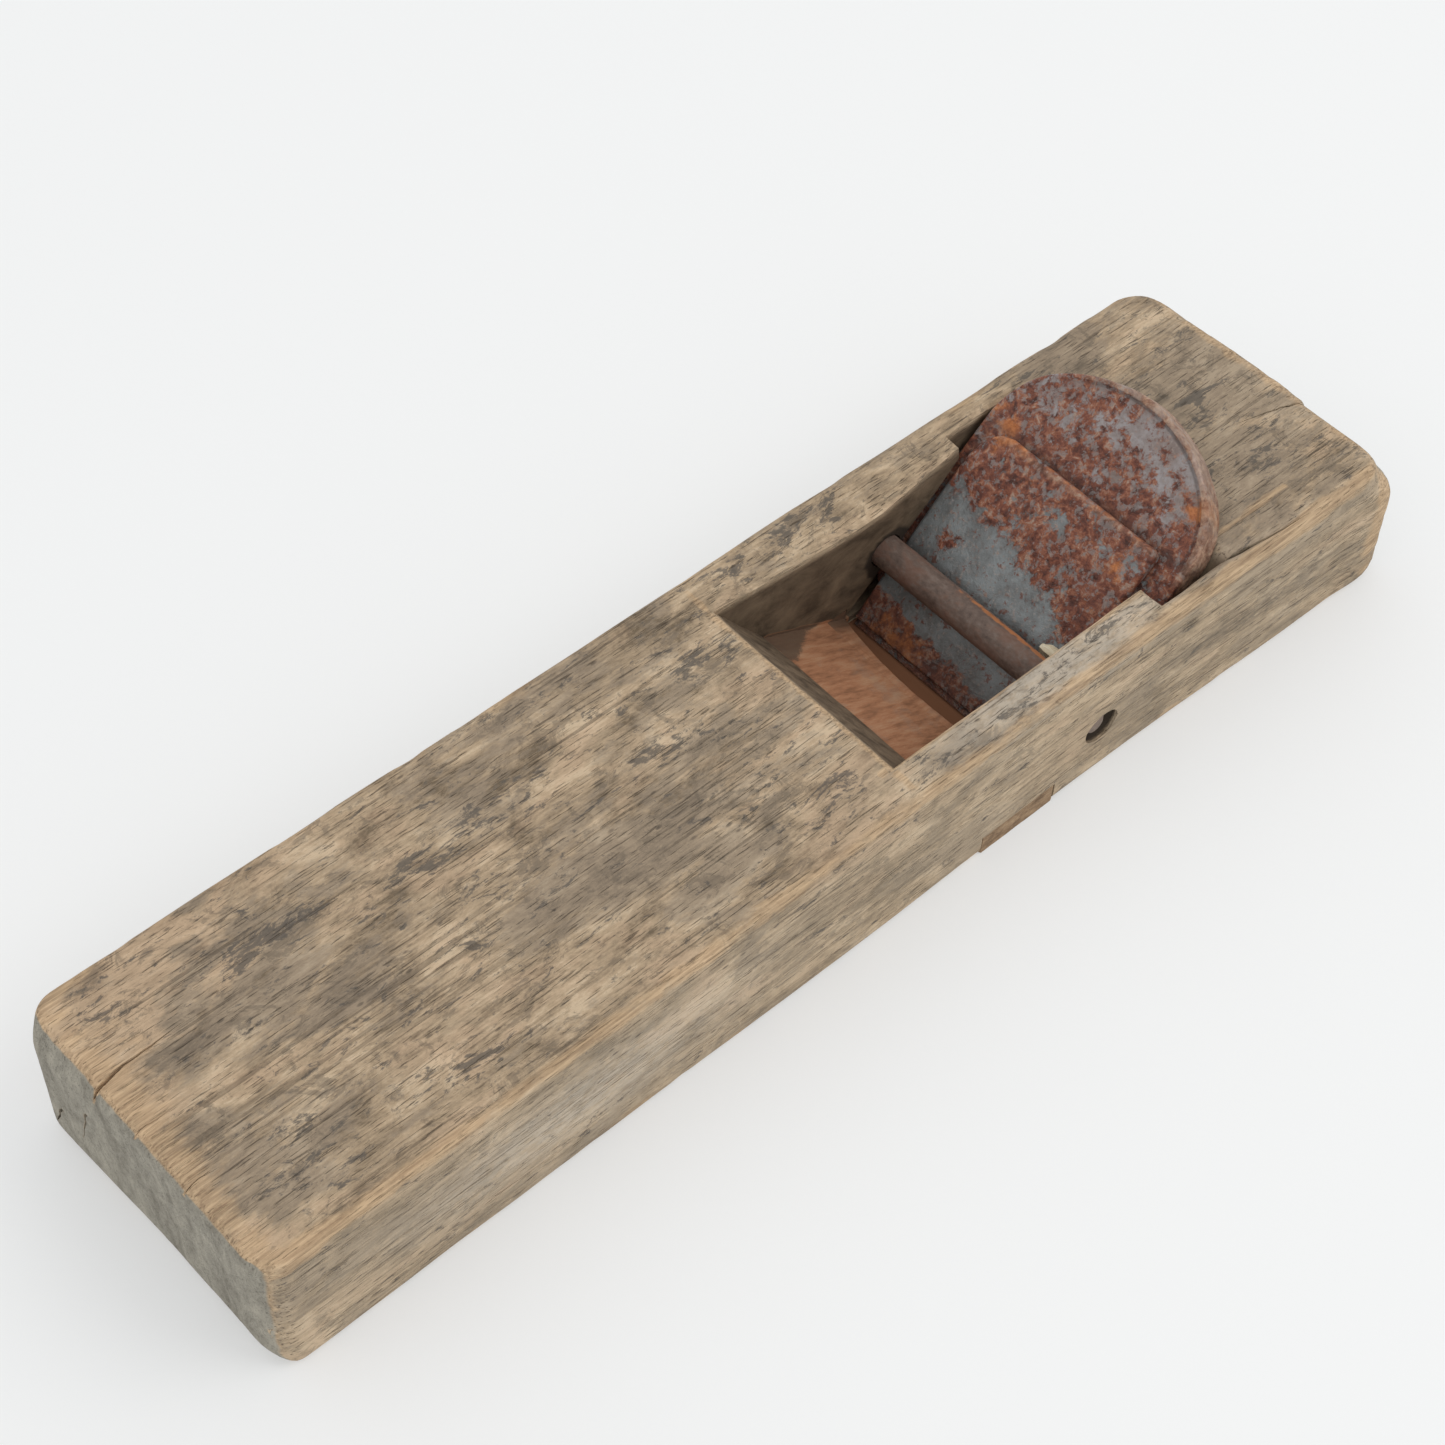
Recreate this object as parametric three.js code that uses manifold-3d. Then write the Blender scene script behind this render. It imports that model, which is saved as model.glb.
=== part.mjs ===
// A wooden hand plane of the Japanese pattern: a long block with a sloped chip well, a laminated blade
// lying on the bed, a chip breaker wedged over it by a round cross pin, and an inlaid mouth patch.
//
// Millimetres, +Z up. The origin is the centre of the sole, on the surface the plane rests on.
// +X runs along the block, towards the end that the blade leans to, and +Y is across it.

import * as THREE from 'three';
import * as BufferGeometryUtils from 'three/addons/utils/BufferGeometryUtils.js';
import Module from 'manifold-3d';

// ---- Driving dimensions ----

const blockLength = 276;
const blockWidth = 68;
const blockHeight = 34;
const arris = 1.6;                 // broken edges all round the block
const frontCornerRadius = 4;       // plan corners at the -X end
const rearCornerRadius = 8;        // plan corners at the +X end
const heelBevelLength = 7;         // worn lower edge at the +X end
const heelBevelHeight = 4.5;

const gap = 0.3;                   // clearance kept between touching pieces
const overcut = 1;                 // how far cutting bodies reach past the surfaces they open

// Blade: its face makes faceAngle with the sole, and cuts the sole plane at faceFootX.
const faceAngle = 43;
const faceFootX = 48.54;
const bladeEdgeStart = 0.6;        // distance of the cutting edge up the face from the sole plane
const bladeHalfWidth = 28;
const bladeEdgeHalfWidth = 24.1;   // width of the cutting edge, between the ground corners
const bladeCentreY = -0.15;
const bladeCornerStart = 9;        // the ground corners flare out to the full width between these
const bladeCornerEnd = 12.8;
const headShoulder = 50.5;         // where the rounded head begins
const headRise = 21.5;             // height of the rounded head above its shoulders
const bladeFootThickness = 5.3;
const bladeHeadThickness = 7.0;
const bevelAngle = 30;             // sharpening bevel, from the face
const steelThickness = 1.7;        // hard steel layer on the face
const steelLength = 46;

// Chip breaker: a thin plate over the face, lifted at its upper end by its turned-down ears.
const breakerStart = 2.0;
const breakerBevelEnd = 9;
const breakerEnd = 50;
const breakerRightY = -21.9;
const breakerLeftY = 24.2;
const breakerTipFront = 0.95;      // heights of the front surface above the blade's face
const breakerBevelFront = 1.5;
const breakerTopFront = 3.3;
const breakerTopBack = 1.0;        // height of the underside at the upper end
const breakerCornerRadius = 1.2;   // upper right corner
const wornCornerAcross = 6.2;      // the upper left corner is worn to a curved slant,
const wornCornerDown = 7.8;        // this far across the top and this far down the side,
const wornCornerPull = [0.6, 1.2]; // pulled out to this far from the top and from the side
const breakerSteelEnd = 13;        // hard steel tip, up to this distance
const breakerScarf = 2;            // half the slant of the weld between tip and plate
const breakerEarLength = 6;        // turned-down ears at the upper corners
const breakerEarWidth = 5;
const rightEarInset = 1.5;         // from the plate's sides to its ears
const leftEarInset = 6.8;
const earFootStart = 2.5;          // the ear's foot and tip, measured down from the upper end
const earFootEnd = 1.0;
const earTipSetback = 0.7;
const earSink = 0.8;               // how deep the ear's root lies inside the plate

// Cross pin through both cheeks
const pinX = 57.2;
const pinZ = 16.0;
const pinRadius = 3.65;

// Chip well and side grooves
const wellRightY = -24.9;
const wellLeftY = 24.8;
const wellTopX = 8.7;              // front edge at the top of the block
const rampTopX = 24.3;             // foot of the steep front wall
const rampTopZ = 13.8;
const mouthX = 46.9;               // lower edge of the ramp
const mouthZ = 2.6;
const mouthSoleX = 46.3;
const grooveRightY = -30.2;
const grooveLeftY = 28.4;
const grooveFrontHeight = 3.0;     // groove front above the blade's face
const grooveTipX = 75.6;
const grooveTipZ = 30;
const grooveFloorZ = 2.0;

// Mouth patch inlaid across the sole
const patchStartX = 27.5;
const patchEndX = 47.2;
const patchHeight = 5;

// Packing splinter beside the pin
const splinterRightY = -23.6;
const splinterLeftY = -13.8;
const splinterSection = [[19.4, 2.3], [23.3, 2.45], [23.1, 3.7], [21.3, 4.4], [20.6, 3.25]]; // (u, h) on the face

// ---- Helpers ----

const wasm = await Module();
wasm.setup();

const radians = (degrees) => degrees * Math.PI / 180;
const faceDirection = new THREE.Vector2(Math.cos(radians(faceAngle)), Math.sin(radians(faceAngle)));
const wedgeSlope = (bladeHeadThickness - bladeFootThickness) / (headShoulder + headRise);

// Point in the XZ plane at distance u up the blade's face and height h above the face.
function facePoint(u, h) {
  return [
    faceFootX + u * faceDirection.x - h * faceDirection.y,
    u * faceDirection.y + h * faceDirection.x,
  ];
}

// X on the line at height h above the face where it reaches height z above the sole.
function faceLineX(h, z) {
  const u = (z - h * faceDirection.x) / faceDirection.y;
  return facePoint(u, h)[0];
}

// X on the bed, which lies under the blade's tapered back, at height z.
function bedX(z) {
  const low = facePoint(0, -bladeFootThickness - gap);
  const high = facePoint(headShoulder, -bladeFootThickness - gap - wedgeSlope * headShoulder);
  const share = (z - low[1]) / (high[1] - low[1]);
  return low[0] + share * (high[0] - low[0]);
}

function toSolid(geometry) {
  const bare = geometry.clone();
  bare.deleteAttribute('normal');
  bare.deleteAttribute('uv');
  const merged = BufferGeometryUtils.mergeVertices(bare, 1e-4);
  return new wasm.Manifold(new wasm.Mesh({
    numProp: 3,
    vertProperties: new Float32Array(merged.attributes.position.array),
    triVerts: new Uint32Array(merged.index.array),
  }));
}

function toGeometry(solid) {
  const mesh = solid.getMesh();
  const geometry = new THREE.BufferGeometry();
  geometry.setAttribute('position', new THREE.BufferAttribute(new Float32Array(mesh.vertProperties), 3));
  geometry.setIndex(new THREE.BufferAttribute(new Uint32Array(mesh.triVerts), 1));
  geometry.computeVertexNormals();
  return geometry;
}

// A prism with the given XZ outline, from y0 to y1.
function prismAlongY(outline, y0, y1) {
  const shape = new THREE.Shape(outline.map(([x, z]) => new THREE.Vector2(x, z)));
  const geometry = new THREE.ExtrudeGeometry(shape, { depth: y1 - y0, bevelEnabled: false });
  geometry.rotateX(Math.PI / 2);
  geometry.translate(0, y1, 0);
  return toSolid(geometry);
}

// A box given by its lowest and highest corners.
function boxBetween(low, high) {
  const size = high.map((value, axis) => value - low[axis]);
  const geometry = new THREE.BoxGeometry(...size);
  geometry.translate(...low.map((value, axis) => value + size[axis] / 2));
  return toSolid(geometry);
}

// A plate whose outline is drawn in (u, y) on the blade's face, from height h0 to h1 above the face.
function plateOnFace(shape, h0, h1, curveSegments) {
  const geometry = new THREE.ExtrudeGeometry(shape, { depth: h1 - h0, bevelEnabled: false, curveSegments });
  geometry.translate(0, 0, h0);
  geometry.rotateY(-radians(faceAngle));
  geometry.translate(faceFootX, 0, 0);
  return toSolid(geometry);
}

// A prism across the plane whose outline is drawn in (u, h) on the blade's face.
function prismOnFace(outline, y0, y1) {
  return prismAlongY(outline.map(([u, h]) => facePoint(u, h)), y0, y1);
}

// ---- Block, its cuts and the mouth patch ----

function blockBody() {
  const halfLength = blockLength / 2;
  const halfWidth = blockWidth / 2;
  const rf = frontCornerRadius;
  const rr = rearCornerRadius;
  const plan = new THREE.Shape();
  plan.moveTo(-halfLength + rf, -halfWidth);
  plan.lineTo(halfLength - rr, -halfWidth);
  plan.absarc(halfLength - rr, -halfWidth + rr, rr, -Math.PI / 2, 0);
  plan.lineTo(halfLength, halfWidth - rr);
  plan.absarc(halfLength - rr, halfWidth - rr, rr, 0, Math.PI / 2);
  plan.lineTo(-halfLength + rf, halfWidth);
  plan.absarc(-halfLength + rf, halfWidth - rf, rf, Math.PI / 2, Math.PI);
  plan.lineTo(-halfLength, -halfWidth + rf);
  plan.absarc(-halfLength + rf, -halfWidth + rf, rf, Math.PI, Math.PI * 1.5);
  const geometry = new THREE.ExtrudeGeometry(plan, {
    depth: blockHeight - 2 * arris,
    bevelEnabled: true,
    bevelThickness: arris,
    bevelSize: arris,
    bevelOffset: -arris,
    bevelSegments: 3,
    curveSegments: 8,
  });
  geometry.translate(0, 0, arris);
  const heelBevel = prismAlongY([
    [halfLength - heelBevelLength, 0],
    [halfLength - heelBevelLength, -overcut],
    [halfLength + overcut, -overcut],
    [halfLength + overcut, heelBevelHeight * (1 + overcut / heelBevelLength)],
  ], -halfWidth - overcut, halfWidth + overcut);
  return toSolid(geometry).subtract(heelBevel);
}

function chipWell() {
  const above = blockHeight + overcut;
  return prismAlongY([
    [wellTopX, above],
    [wellTopX, blockHeight],
    [rampTopX, rampTopZ],
    [mouthX, mouthZ],
    [mouthSoleX, -overcut],
    [bedX(-overcut), -overcut],
    [bedX(above), above],
  ], wellRightY, wellLeftY);
}

function sideGrooves() {
  const above = blockHeight + overcut;
  return prismAlongY([
    [grooveTipX, above],
    [grooveTipX, blockHeight],
    [faceLineX(grooveFrontHeight, grooveTipZ), grooveTipZ],
    [faceLineX(grooveFrontHeight, grooveFloorZ), grooveFloorZ],
    [bedX(grooveFloorZ), grooveFloorZ],
    [bedX(above), above],
  ], grooveRightY, grooveLeftY);
}

function crossCylinder(radius, halfLength) {
  const geometry = new THREE.CylinderGeometry(radius, radius, 2 * halfLength, 32);
  geometry.translate(pinX, 0, pinZ);
  return toSolid(geometry);
}

const outerBody = blockBody();
const well = chipWell();
const patchRecess = boxBetween(
  [patchStartX - gap, -blockWidth, -overcut],
  [patchEndX + gap, blockWidth, patchHeight + gap],
);
const blockSolid = outerBody
  .subtract(well)
  .subtract(sideGrooves())
  .subtract(patchRecess)
  .subtract(crossCylinder(pinRadius + gap, blockWidth));

const patchSolid = outerBody
  .intersect(boxBetween([patchStartX, -blockWidth, -overcut], [patchEndX, blockWidth, patchHeight]))
  .subtract(well);

// ---- Blade ----

function bladeOutline() {
  const outline = new THREE.Shape();
  const half = bladeHalfWidth;
  outline.moveTo(bladeEdgeStart, bladeCentreY - bladeEdgeHalfWidth);
  outline.lineTo(bladeCornerStart, bladeCentreY - bladeEdgeHalfWidth);
  outline.lineTo(bladeCornerEnd, bladeCentreY - half);
  outline.lineTo(headShoulder, bladeCentreY - half);
  outline.absellipse(headShoulder, bladeCentreY, headRise, half, -Math.PI / 2, Math.PI / 2, false, 0);
  outline.lineTo(bladeCornerEnd, bladeCentreY + half);
  outline.lineTo(bladeCornerStart, bladeCentreY + bladeEdgeHalfWidth);
  outline.lineTo(bladeEdgeStart, bladeCentreY + bladeEdgeHalfWidth);
  return outline;
}

// Everything between the face, the tapered back and the sharpening bevel.
function bladeSection() {
  const top = headShoulder + headRise + overcut;
  const bevelSlope = Math.tan(radians(bevelAngle));
  const heel = (bladeFootThickness + bladeEdgeStart * bevelSlope) / (bevelSlope - wedgeSlope);
  return prismOnFace([
    [bladeEdgeStart, 0],
    [heel, -bladeFootThickness - wedgeSlope * heel],
    [top, -bladeFootThickness - wedgeSlope * top],
    [top, 0],
  ], -blockWidth, blockWidth);
}

const bladeSolid = plateOnFace(bladeOutline(), -2 * bladeHeadThickness, overcut, 40).intersect(bladeSection());
const steelSolid = bladeSolid.intersect(prismOnFace([
  [0, overcut],
  [0, -steelThickness],
  [steelLength, -steelThickness],
  [steelLength, overcut],
], -blockWidth, blockWidth));
const bladeIronSolid = bladeSolid.subtract(prismOnFace([
  [0, overcut],
  [0, -steelThickness - gap],
  [steelLength + gap, -steelThickness - gap],
  [steelLength + gap, overcut],
], -blockWidth, blockWidth));

// ---- Chip breaker ----

// Outline in (u, y): square at the lower edge, with its left upper corner worn to a slant.
function breakerOutline() {
  const outline = new THREE.Shape();
  const r = breakerCornerRadius;
  const [fromTop, fromSide] = wornCornerPull;
  outline.moveTo(0, breakerRightY);
  outline.lineTo(breakerEnd - r, breakerRightY);
  outline.absarc(breakerEnd - r, breakerRightY + r, r, -Math.PI / 2, 0);
  outline.lineTo(breakerEnd, breakerLeftY - wornCornerAcross);
  outline.quadraticCurveTo(breakerEnd - fromTop, breakerLeftY - fromSide, breakerEnd - wornCornerDown, breakerLeftY);
  outline.lineTo(0, breakerLeftY);
  return outline;
}

function breakerSection() {
  return prismOnFace([
    [breakerStart, gap],
    [breakerEnd + overcut, breakerTopBack],
    [breakerEnd + overcut, breakerTopFront],
    [breakerBevelEnd, breakerBevelFront],
    [breakerStart, breakerTipFront],
  ], -blockWidth, blockWidth);
}

// The ears are the upper corners, turned down until they stand on the blade's face.
function breakerEars() {
  const earStart = breakerEnd - breakerEarLength;
  const profile = [
    [earStart, breakerTopBack + earSink],
    [breakerEnd - earFootStart, gap],
    [breakerEnd - earFootEnd, gap],
    [breakerEnd - earTipSetback, breakerTopFront - earSink],
    [earStart, breakerTopFront - earSink],
  ];
  const rightEarY = breakerRightY + rightEarInset;
  const leftEarY = breakerLeftY - leftEarInset;
  const rightEar = prismOnFace(profile, rightEarY, rightEarY + breakerEarWidth);
  const leftEar = prismOnFace(profile, leftEarY - breakerEarWidth, leftEarY);
  return rightEar.add(leftEar);
}

const breakerSolid = plateOnFace(breakerOutline(), -overcut, 2 * breakerTopFront, 6)
  .intersect(breakerSection())
  .add(breakerEars());
// The weld between tip and plate slants down from front to back. Its clearance, measured along the plate, is
// wider than the gap because of the slant.
const weldGap = 1.5 * gap;
const breakerSteelSolid = breakerSolid.intersect(prismOnFace([
  [0, -overcut],
  [breakerSteelEnd + breakerScarf, -overcut],
  [breakerSteelEnd - breakerScarf, 2 * breakerTopFront],
  [0, 2 * breakerTopFront],
], -blockWidth, blockWidth));
const breakerIronSolid = breakerSolid.subtract(prismOnFace([
  [0, -overcut],
  [breakerSteelEnd + breakerScarf + weldGap, -overcut],
  [breakerSteelEnd - breakerScarf + weldGap, 2 * breakerTopFront],
  [0, 2 * breakerTopFront],
], -blockWidth, blockWidth));

// ---- Cross pin and packing splinter ----

const pinSolid = crossCylinder(pinRadius, blockWidth / 2 - gap);

const splinterSolid = prismOnFace(splinterSection, splinterRightY, splinterLeftY);

// ---- Materials and assembly ----

function finish(color, roughness, metalness) {
  return new THREE.MeshStandardMaterial({ color, roughness, metalness });
}

const weatheredOak = finish(0x8d7a63, 0.85, 0);
const redHardwood = finish(0x9a5f45, 0.75, 0);
const paleSplinter = finish(0xcbb78f, 0.8, 0);
const rustedIron = finish(0x6d3b2c, 0.8, 0.35);
const greySteel = finish(0x6c7478, 0.6, 0.6);
const brownIron = finish(0x65503f, 0.75, 0.4);

const pieces = [
  ['plane_block', blockSolid, weatheredOak],
  ['mouth_patch', patchSolid, redHardwood],
  ['blade_iron', bladeIronSolid, rustedIron],
  ['blade_steel', steelSolid, greySteel],
  ['chip_breaker_iron', breakerIronSolid, rustedIron],
  ['chip_breaker_steel', breakerSteelSolid, greySteel],
  ['cross_pin', pinSolid, brownIron],
  ['packing_splinter', splinterSolid, paleSplinter],
];

const handPlane = new THREE.Group();
for (const [name, solid, material] of pieces) {
  const mesh = new THREE.Mesh(toGeometry(solid), material);
  mesh.name = name;
  handPlane.add(mesh);
}

export default handPlane;
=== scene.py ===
"""Looks of a weathered wooden hand plane of the Japanese pattern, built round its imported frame.

Each shape below is worked out in millimetres, as rings of points: the number of the ring is one parameter and
the place round the ring the other. +X runs along the block towards the end that the blade leans to, +Y is
across it and +Z up. Shapes on the blade are drawn in (u, y, h): u up the blade's face from the sole, h above
it.
"""

import bpy
import numpy as np
from mathutils import Matrix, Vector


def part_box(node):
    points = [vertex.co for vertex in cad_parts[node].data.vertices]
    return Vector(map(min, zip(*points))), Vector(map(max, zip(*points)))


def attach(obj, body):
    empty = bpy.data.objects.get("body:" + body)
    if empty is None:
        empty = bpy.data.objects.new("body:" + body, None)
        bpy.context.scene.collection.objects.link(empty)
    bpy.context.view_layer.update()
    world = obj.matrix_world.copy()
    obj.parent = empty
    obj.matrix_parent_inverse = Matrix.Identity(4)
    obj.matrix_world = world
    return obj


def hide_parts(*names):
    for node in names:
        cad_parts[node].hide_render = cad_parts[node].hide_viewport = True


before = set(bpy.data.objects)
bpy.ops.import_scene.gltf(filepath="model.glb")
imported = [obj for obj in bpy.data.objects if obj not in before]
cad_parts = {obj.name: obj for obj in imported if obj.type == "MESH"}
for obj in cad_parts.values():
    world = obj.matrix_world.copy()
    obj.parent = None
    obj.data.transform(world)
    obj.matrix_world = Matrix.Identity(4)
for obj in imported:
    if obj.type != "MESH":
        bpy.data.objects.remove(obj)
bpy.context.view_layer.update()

bl_info = {
    "name": "Weathered hand plane",
    "version": (1, 0, 0),
    "blender": (4, 5, 0),
    "location": "3D View > Sidebar > Hand plane",
    "description": "Builds a worn wooden hand plane with its rusted irons",
    "category": "Add Mesh",
}

BLOCK_LOW, BLOCK_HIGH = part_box("plane_block")
PIN_LOW, PIN_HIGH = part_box("cross_pin")
MM = 0.001

FACE_ANGLE = np.radians(43.0)
FACE_FOOT_X = 48.54
EDGE_START = 0.6
BLADE_FOOT_THICKNESS = 5.3
WEDGE_SLOPE = 1.7 / 72.0
BEVEL_SLOPE = np.tan(np.radians(30.0))
FIT_GAP = 0.3

TOP = 34.0
OVER_TOP = 36.5
WELL_Y = (-24.9, 24.8)
WELL_RIM_X = 8.7
# The front of the well: height, and place along the block.
MOUTH_LIP = (2.6, 46.9)
RAMP_TOP = (13.8, 24.3)
WELL_FRONT = np.array([(-1.0, 46.3), (0.0, 46.3), MOUTH_LIP, RAMP_TOP, (TOP, WELL_RIM_X),
                       (OVER_TOP, WELL_RIM_X)])
GROOVE_Y = (-30.2, 28.4)
GROOVE_FRONT_HEIGHT = 3.0
GROOVE_BEND = 30.0
GROOVE_RIM_X = 75.6
PATCH_X = (27.5, 47.2)
PATCH_TOP = 5.0
STEEL_THICKNESS = 1.7
STEEL_END = 46.0
BREAKER_STEEL_END = 13.0
SEAM = 0.03
SHOULDER = 50.5
HEAD_RISE = 21.5
BLADE_HALF = 28.0
BLADE_MIDDLE_Y = -0.15
PIN_CENTRE = np.array([57.2, 16.0])
PAST_SIDE = 40.0
LATTICE = 24
# Colour of the painted shadow over the upper ramp and along the far wall of the well.
RAMP_SHADOW = (0.10, 0.07, 0.048)
MIX_BASE, MIX_COLOUR, MIX_RESULT = 6, 7, 2
CAMERA_PLACE = (-0.230641, -0.228166, 0.436767)
CAMERA_TURN = (-44.015, 51.431, 2.736)
# Black stains on the top: x, y, half length, half width in millimetres, and strength.
STAINS = ((-102, 19, 10, 2.6, 0.9), (-72, 15, 4, 2.4, 1.0), (-53, 14, 10, 2.8, 0.9), (-82, 10, 4, 1.8, 0.6),
          (-60, -4, 5, 5, 0.7), (-74, -5, 2, 2.5, 0.5), (-18, 4, 8, 2.5, 0.7), (-3, 17, 7, 2.5, 0.9),
          (-88, -24, 9, 3.0, 0.8), (-4, -22, 9, 3.5, 0.8), (-118, -20, 7, 5, 0.7), (14, -30, 12, 2.0, 0.5),
          (44, -29, 9, 2.0, 0.7), (66, -28, 7, 2.0, 1.0), (30, 30, 16, 3.0, 0.6), (58, 31, 12, 2.4, 0.5),
          (100, 18, 9, 4, 0.6), (124, 4, 9, 5, 0.7), (118, -18, 10, 4, 0.6), (-128, 24, 5, 5, 0.6))


# ---- Small tools for surfaces ----

def fade(start, end, value):
    """Goes smoothly from 0 where the value is start to 1 where it is end, as 3s^2 - 2s^3."""
    share = np.clip((np.asarray(value, float) - start) / (end - start), 0, 1)
    return share * share * (3 - 2 * share)


def hump(centre, width, value):
    """A bell of height 1 round the centre: e to the power of minus the squared distance in widths."""
    return np.exp(-((np.asarray(value, float) - centre) / width) ** 2)


def field(points, cell, seed, layers=1):
    """Random numbers stand at the corners of a lattice of boxes of the given cell size, and a point takes the
    blend of its eight corners, weighted by a cubic fade along each axis. Each further layer has cells half
    the size and half the strength. The values lie between about -1 and 1."""
    total, strength = 0.0, 1.0
    for layer in range(layers):
        table = np.random.RandomState(seed + layer).uniform(-1, 1, (LATTICE,) * 3)
        place = points * (2 ** layer) / np.asarray(cell, float)
        low = np.floor(place).astype(int)
        share = place - low
        share = share * share * (3 - 2 * share)
        for corner in np.ndindex(2, 2, 2):
            weight = np.prod(np.where(corner, share, 1 - share), axis=-1)
            x, y, z = np.moveaxis((low + corner) % LATTICE, -1, 0)
            total = total + strength * weight * table[x, y, z]
        strength *= 0.5
    return total


def line_field(value, cell, seed, layers=2):
    """The random field along a line."""
    value = np.asarray(value, float)
    return field(np.stack([value, 0 * value + seed * 0.37, 0 * value], -1), (cell, 1, 1), seed, layers)


def on_face(u, y, h):
    """The point a distance u up the blade's face from the sole and h above the face, at y across."""
    u, y, h = np.broadcast_arrays(u, y, h)
    c, s = np.cos(FACE_ANGLE), np.sin(FACE_ANGLE)
    return np.stack([FACE_FOOT_X + u * c - h * s, y, u * s + h * c], -1)


def face_place(points):
    """(u, h) of points: the reverse of on_face."""
    c, s = np.cos(FACE_ANGLE), np.sin(FACE_ANGLE)
    x, z = points[..., 0] - FACE_FOOT_X, points[..., 2]
    return x * c + z * s, z * c - x * s


def face_line_x(h, z):
    """X where the line at height h above the face reaches the level z."""
    c, s = np.cos(FACE_ANGLE), np.sin(FACE_ANGLE)
    return FACE_FOOT_X + (z - h * c) / s * c - h * s


def bed_x(z):
    """X of the sloped bed under the blade's tapered back at the level z: a straight line."""
    low = on_face(0, 0, -BLADE_FOOT_THICKNESS - FIT_GAP)
    high = on_face(50, 0, -BLADE_FOOT_THICKNESS - FIT_GAP - WEDGE_SLOPE * 50)
    return low[0] + (z - low[2]) / (high[2] - low[2]) * (high[0] - low[0])


def shrunk(ring, shares, middle=None):
    """Copies of the ring, shrunk towards its middle by each of the shares."""
    middle = ring.mean(0) if middle is None else middle
    return middle + (ring - middle) * np.asarray(shares)[:, None, None]


def ring_normals(rings):
    """At each point, the cross product of the step round the ring and the step to the next ring."""
    around = np.roll(rings, -1, 1) - np.roll(rings, 1, 1)
    along = np.gradient(rings, axis=0)
    normal = np.cross(around, along)
    normal /= np.linalg.norm(normal, axis=-1, keepdims=True) + 1e-9
    outwards = np.sum(normal * (rings - rings.mean((0, 1))))
    return normal * np.sign(outwards)


def closed_skin(name, rings):
    """Joins neighbouring rings with four-sided faces and closes the first and the last ring with a fan to its
    middle, then turns all faces if the enclosed volume comes out negative."""
    count, around = rings.shape[:2]
    index = np.arange(count * around).reshape(count, around)
    here, beside = index, np.roll(index, -1, 1)
    quads = np.stack([here[:-1], beside[:-1], beside[1:], here[1:]], -1).reshape(-1, 4)
    first, last = count * around, count * around + 1
    fans = np.concatenate([
        np.stack([beside[0], here[0], np.full(around, first)], -1),
        np.stack([here[-1], beside[-1], np.full(around, last)], -1),
    ])
    points = np.concatenate([rings.reshape(-1, 3), rings[[0, -1]].mean(1)])
    triangles = np.concatenate([quads[:, :3], quads[:, [0, 2, 3]], fans])
    a, b, c = (points[triangles[:, k]] for k in range(3))
    if np.sum(np.cross(a, b) * c) < 0:
        quads, fans = quads[:, ::-1], fans[:, ::-1]
    mesh = bpy.data.meshes.new(name)
    mesh.from_pydata((points * MM).tolist(), [], quads.tolist() + fans.tolist())
    mesh.update()
    piece = bpy.data.objects.new(name, mesh)
    bpy.context.scene.collection.objects.link(piece)
    return piece


def mesh_points(piece, kind="co", unit=MM):
    """The mesh's points in millimetres, or their normals."""
    flat = np.zeros(len(piece.data.vertices) * 3)
    piece.data.vertices.foreach_get(kind, flat)
    return flat.reshape(-1, 3) / unit


def carve(piece, cutters, keep="DIFFERENCE"):
    """Cuts the closed skins in cutters out of the piece, or keeps only what lies in them, and removes
    them."""
    for cutter in cutters:
        step = piece.modifiers.new("cut", "BOOLEAN")
        step.operation, step.solver, step.object = keep, "MANIFOLD", cutter
    graph = bpy.context.evaluated_depsgraph_get()
    cut = bpy.data.meshes.new_from_object(piece.evaluated_get(graph))
    if len(cut.polygons) == 0 or len(cut.vertices) == len(piece.data.vertices):
        raise RuntimeError(f"{piece.name} wasn't cut")
    piece.modifiers.clear()
    whole, piece.data = piece.data, cut
    bpy.data.meshes.remove(whole)
    cut.name = piece.name
    for cutter in cutters:
        mesh = cutter.data
        bpy.data.objects.remove(cutter)
        bpy.data.meshes.remove(mesh)
    return piece


def copy_of(piece, name):
    twin = bpy.data.objects.new(name, piece.data.copy())
    bpy.context.scene.collection.objects.link(twin)
    return twin


def hand_over(piece, material, body, nodes, crease=40):
    """Smooths the piece's shading but for edges sharper than the crease angle, paints it, and puts it in
    place of its CAD nodes."""
    piece.data.materials.clear()
    piece.data.materials.append(material)
    piece.data.shade_smooth()
    piece.data.set_sharp_from_angle(angle=np.radians(crease))
    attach(piece, body)
    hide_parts(*nodes)


def write_masks(piece, masks, name="zones"):
    """Keeps four numbers a point, from 0 to 1, which the material reads to tell one zone from another."""
    layer = piece.data.color_attributes.new(name, "FLOAT_COLOR", "POINT")
    layer.data.foreach_set("color", np.clip(np.stack(masks, -1), 0, 1).astype(np.float32).ravel())


# ---- Block ----

def half_sizes(sizes):
    """Half the block's length, half its width and its height, in millimetres."""
    return sizes.length / MM / 2, sizes.width / MM / 2, sizes.height / MM


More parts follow.
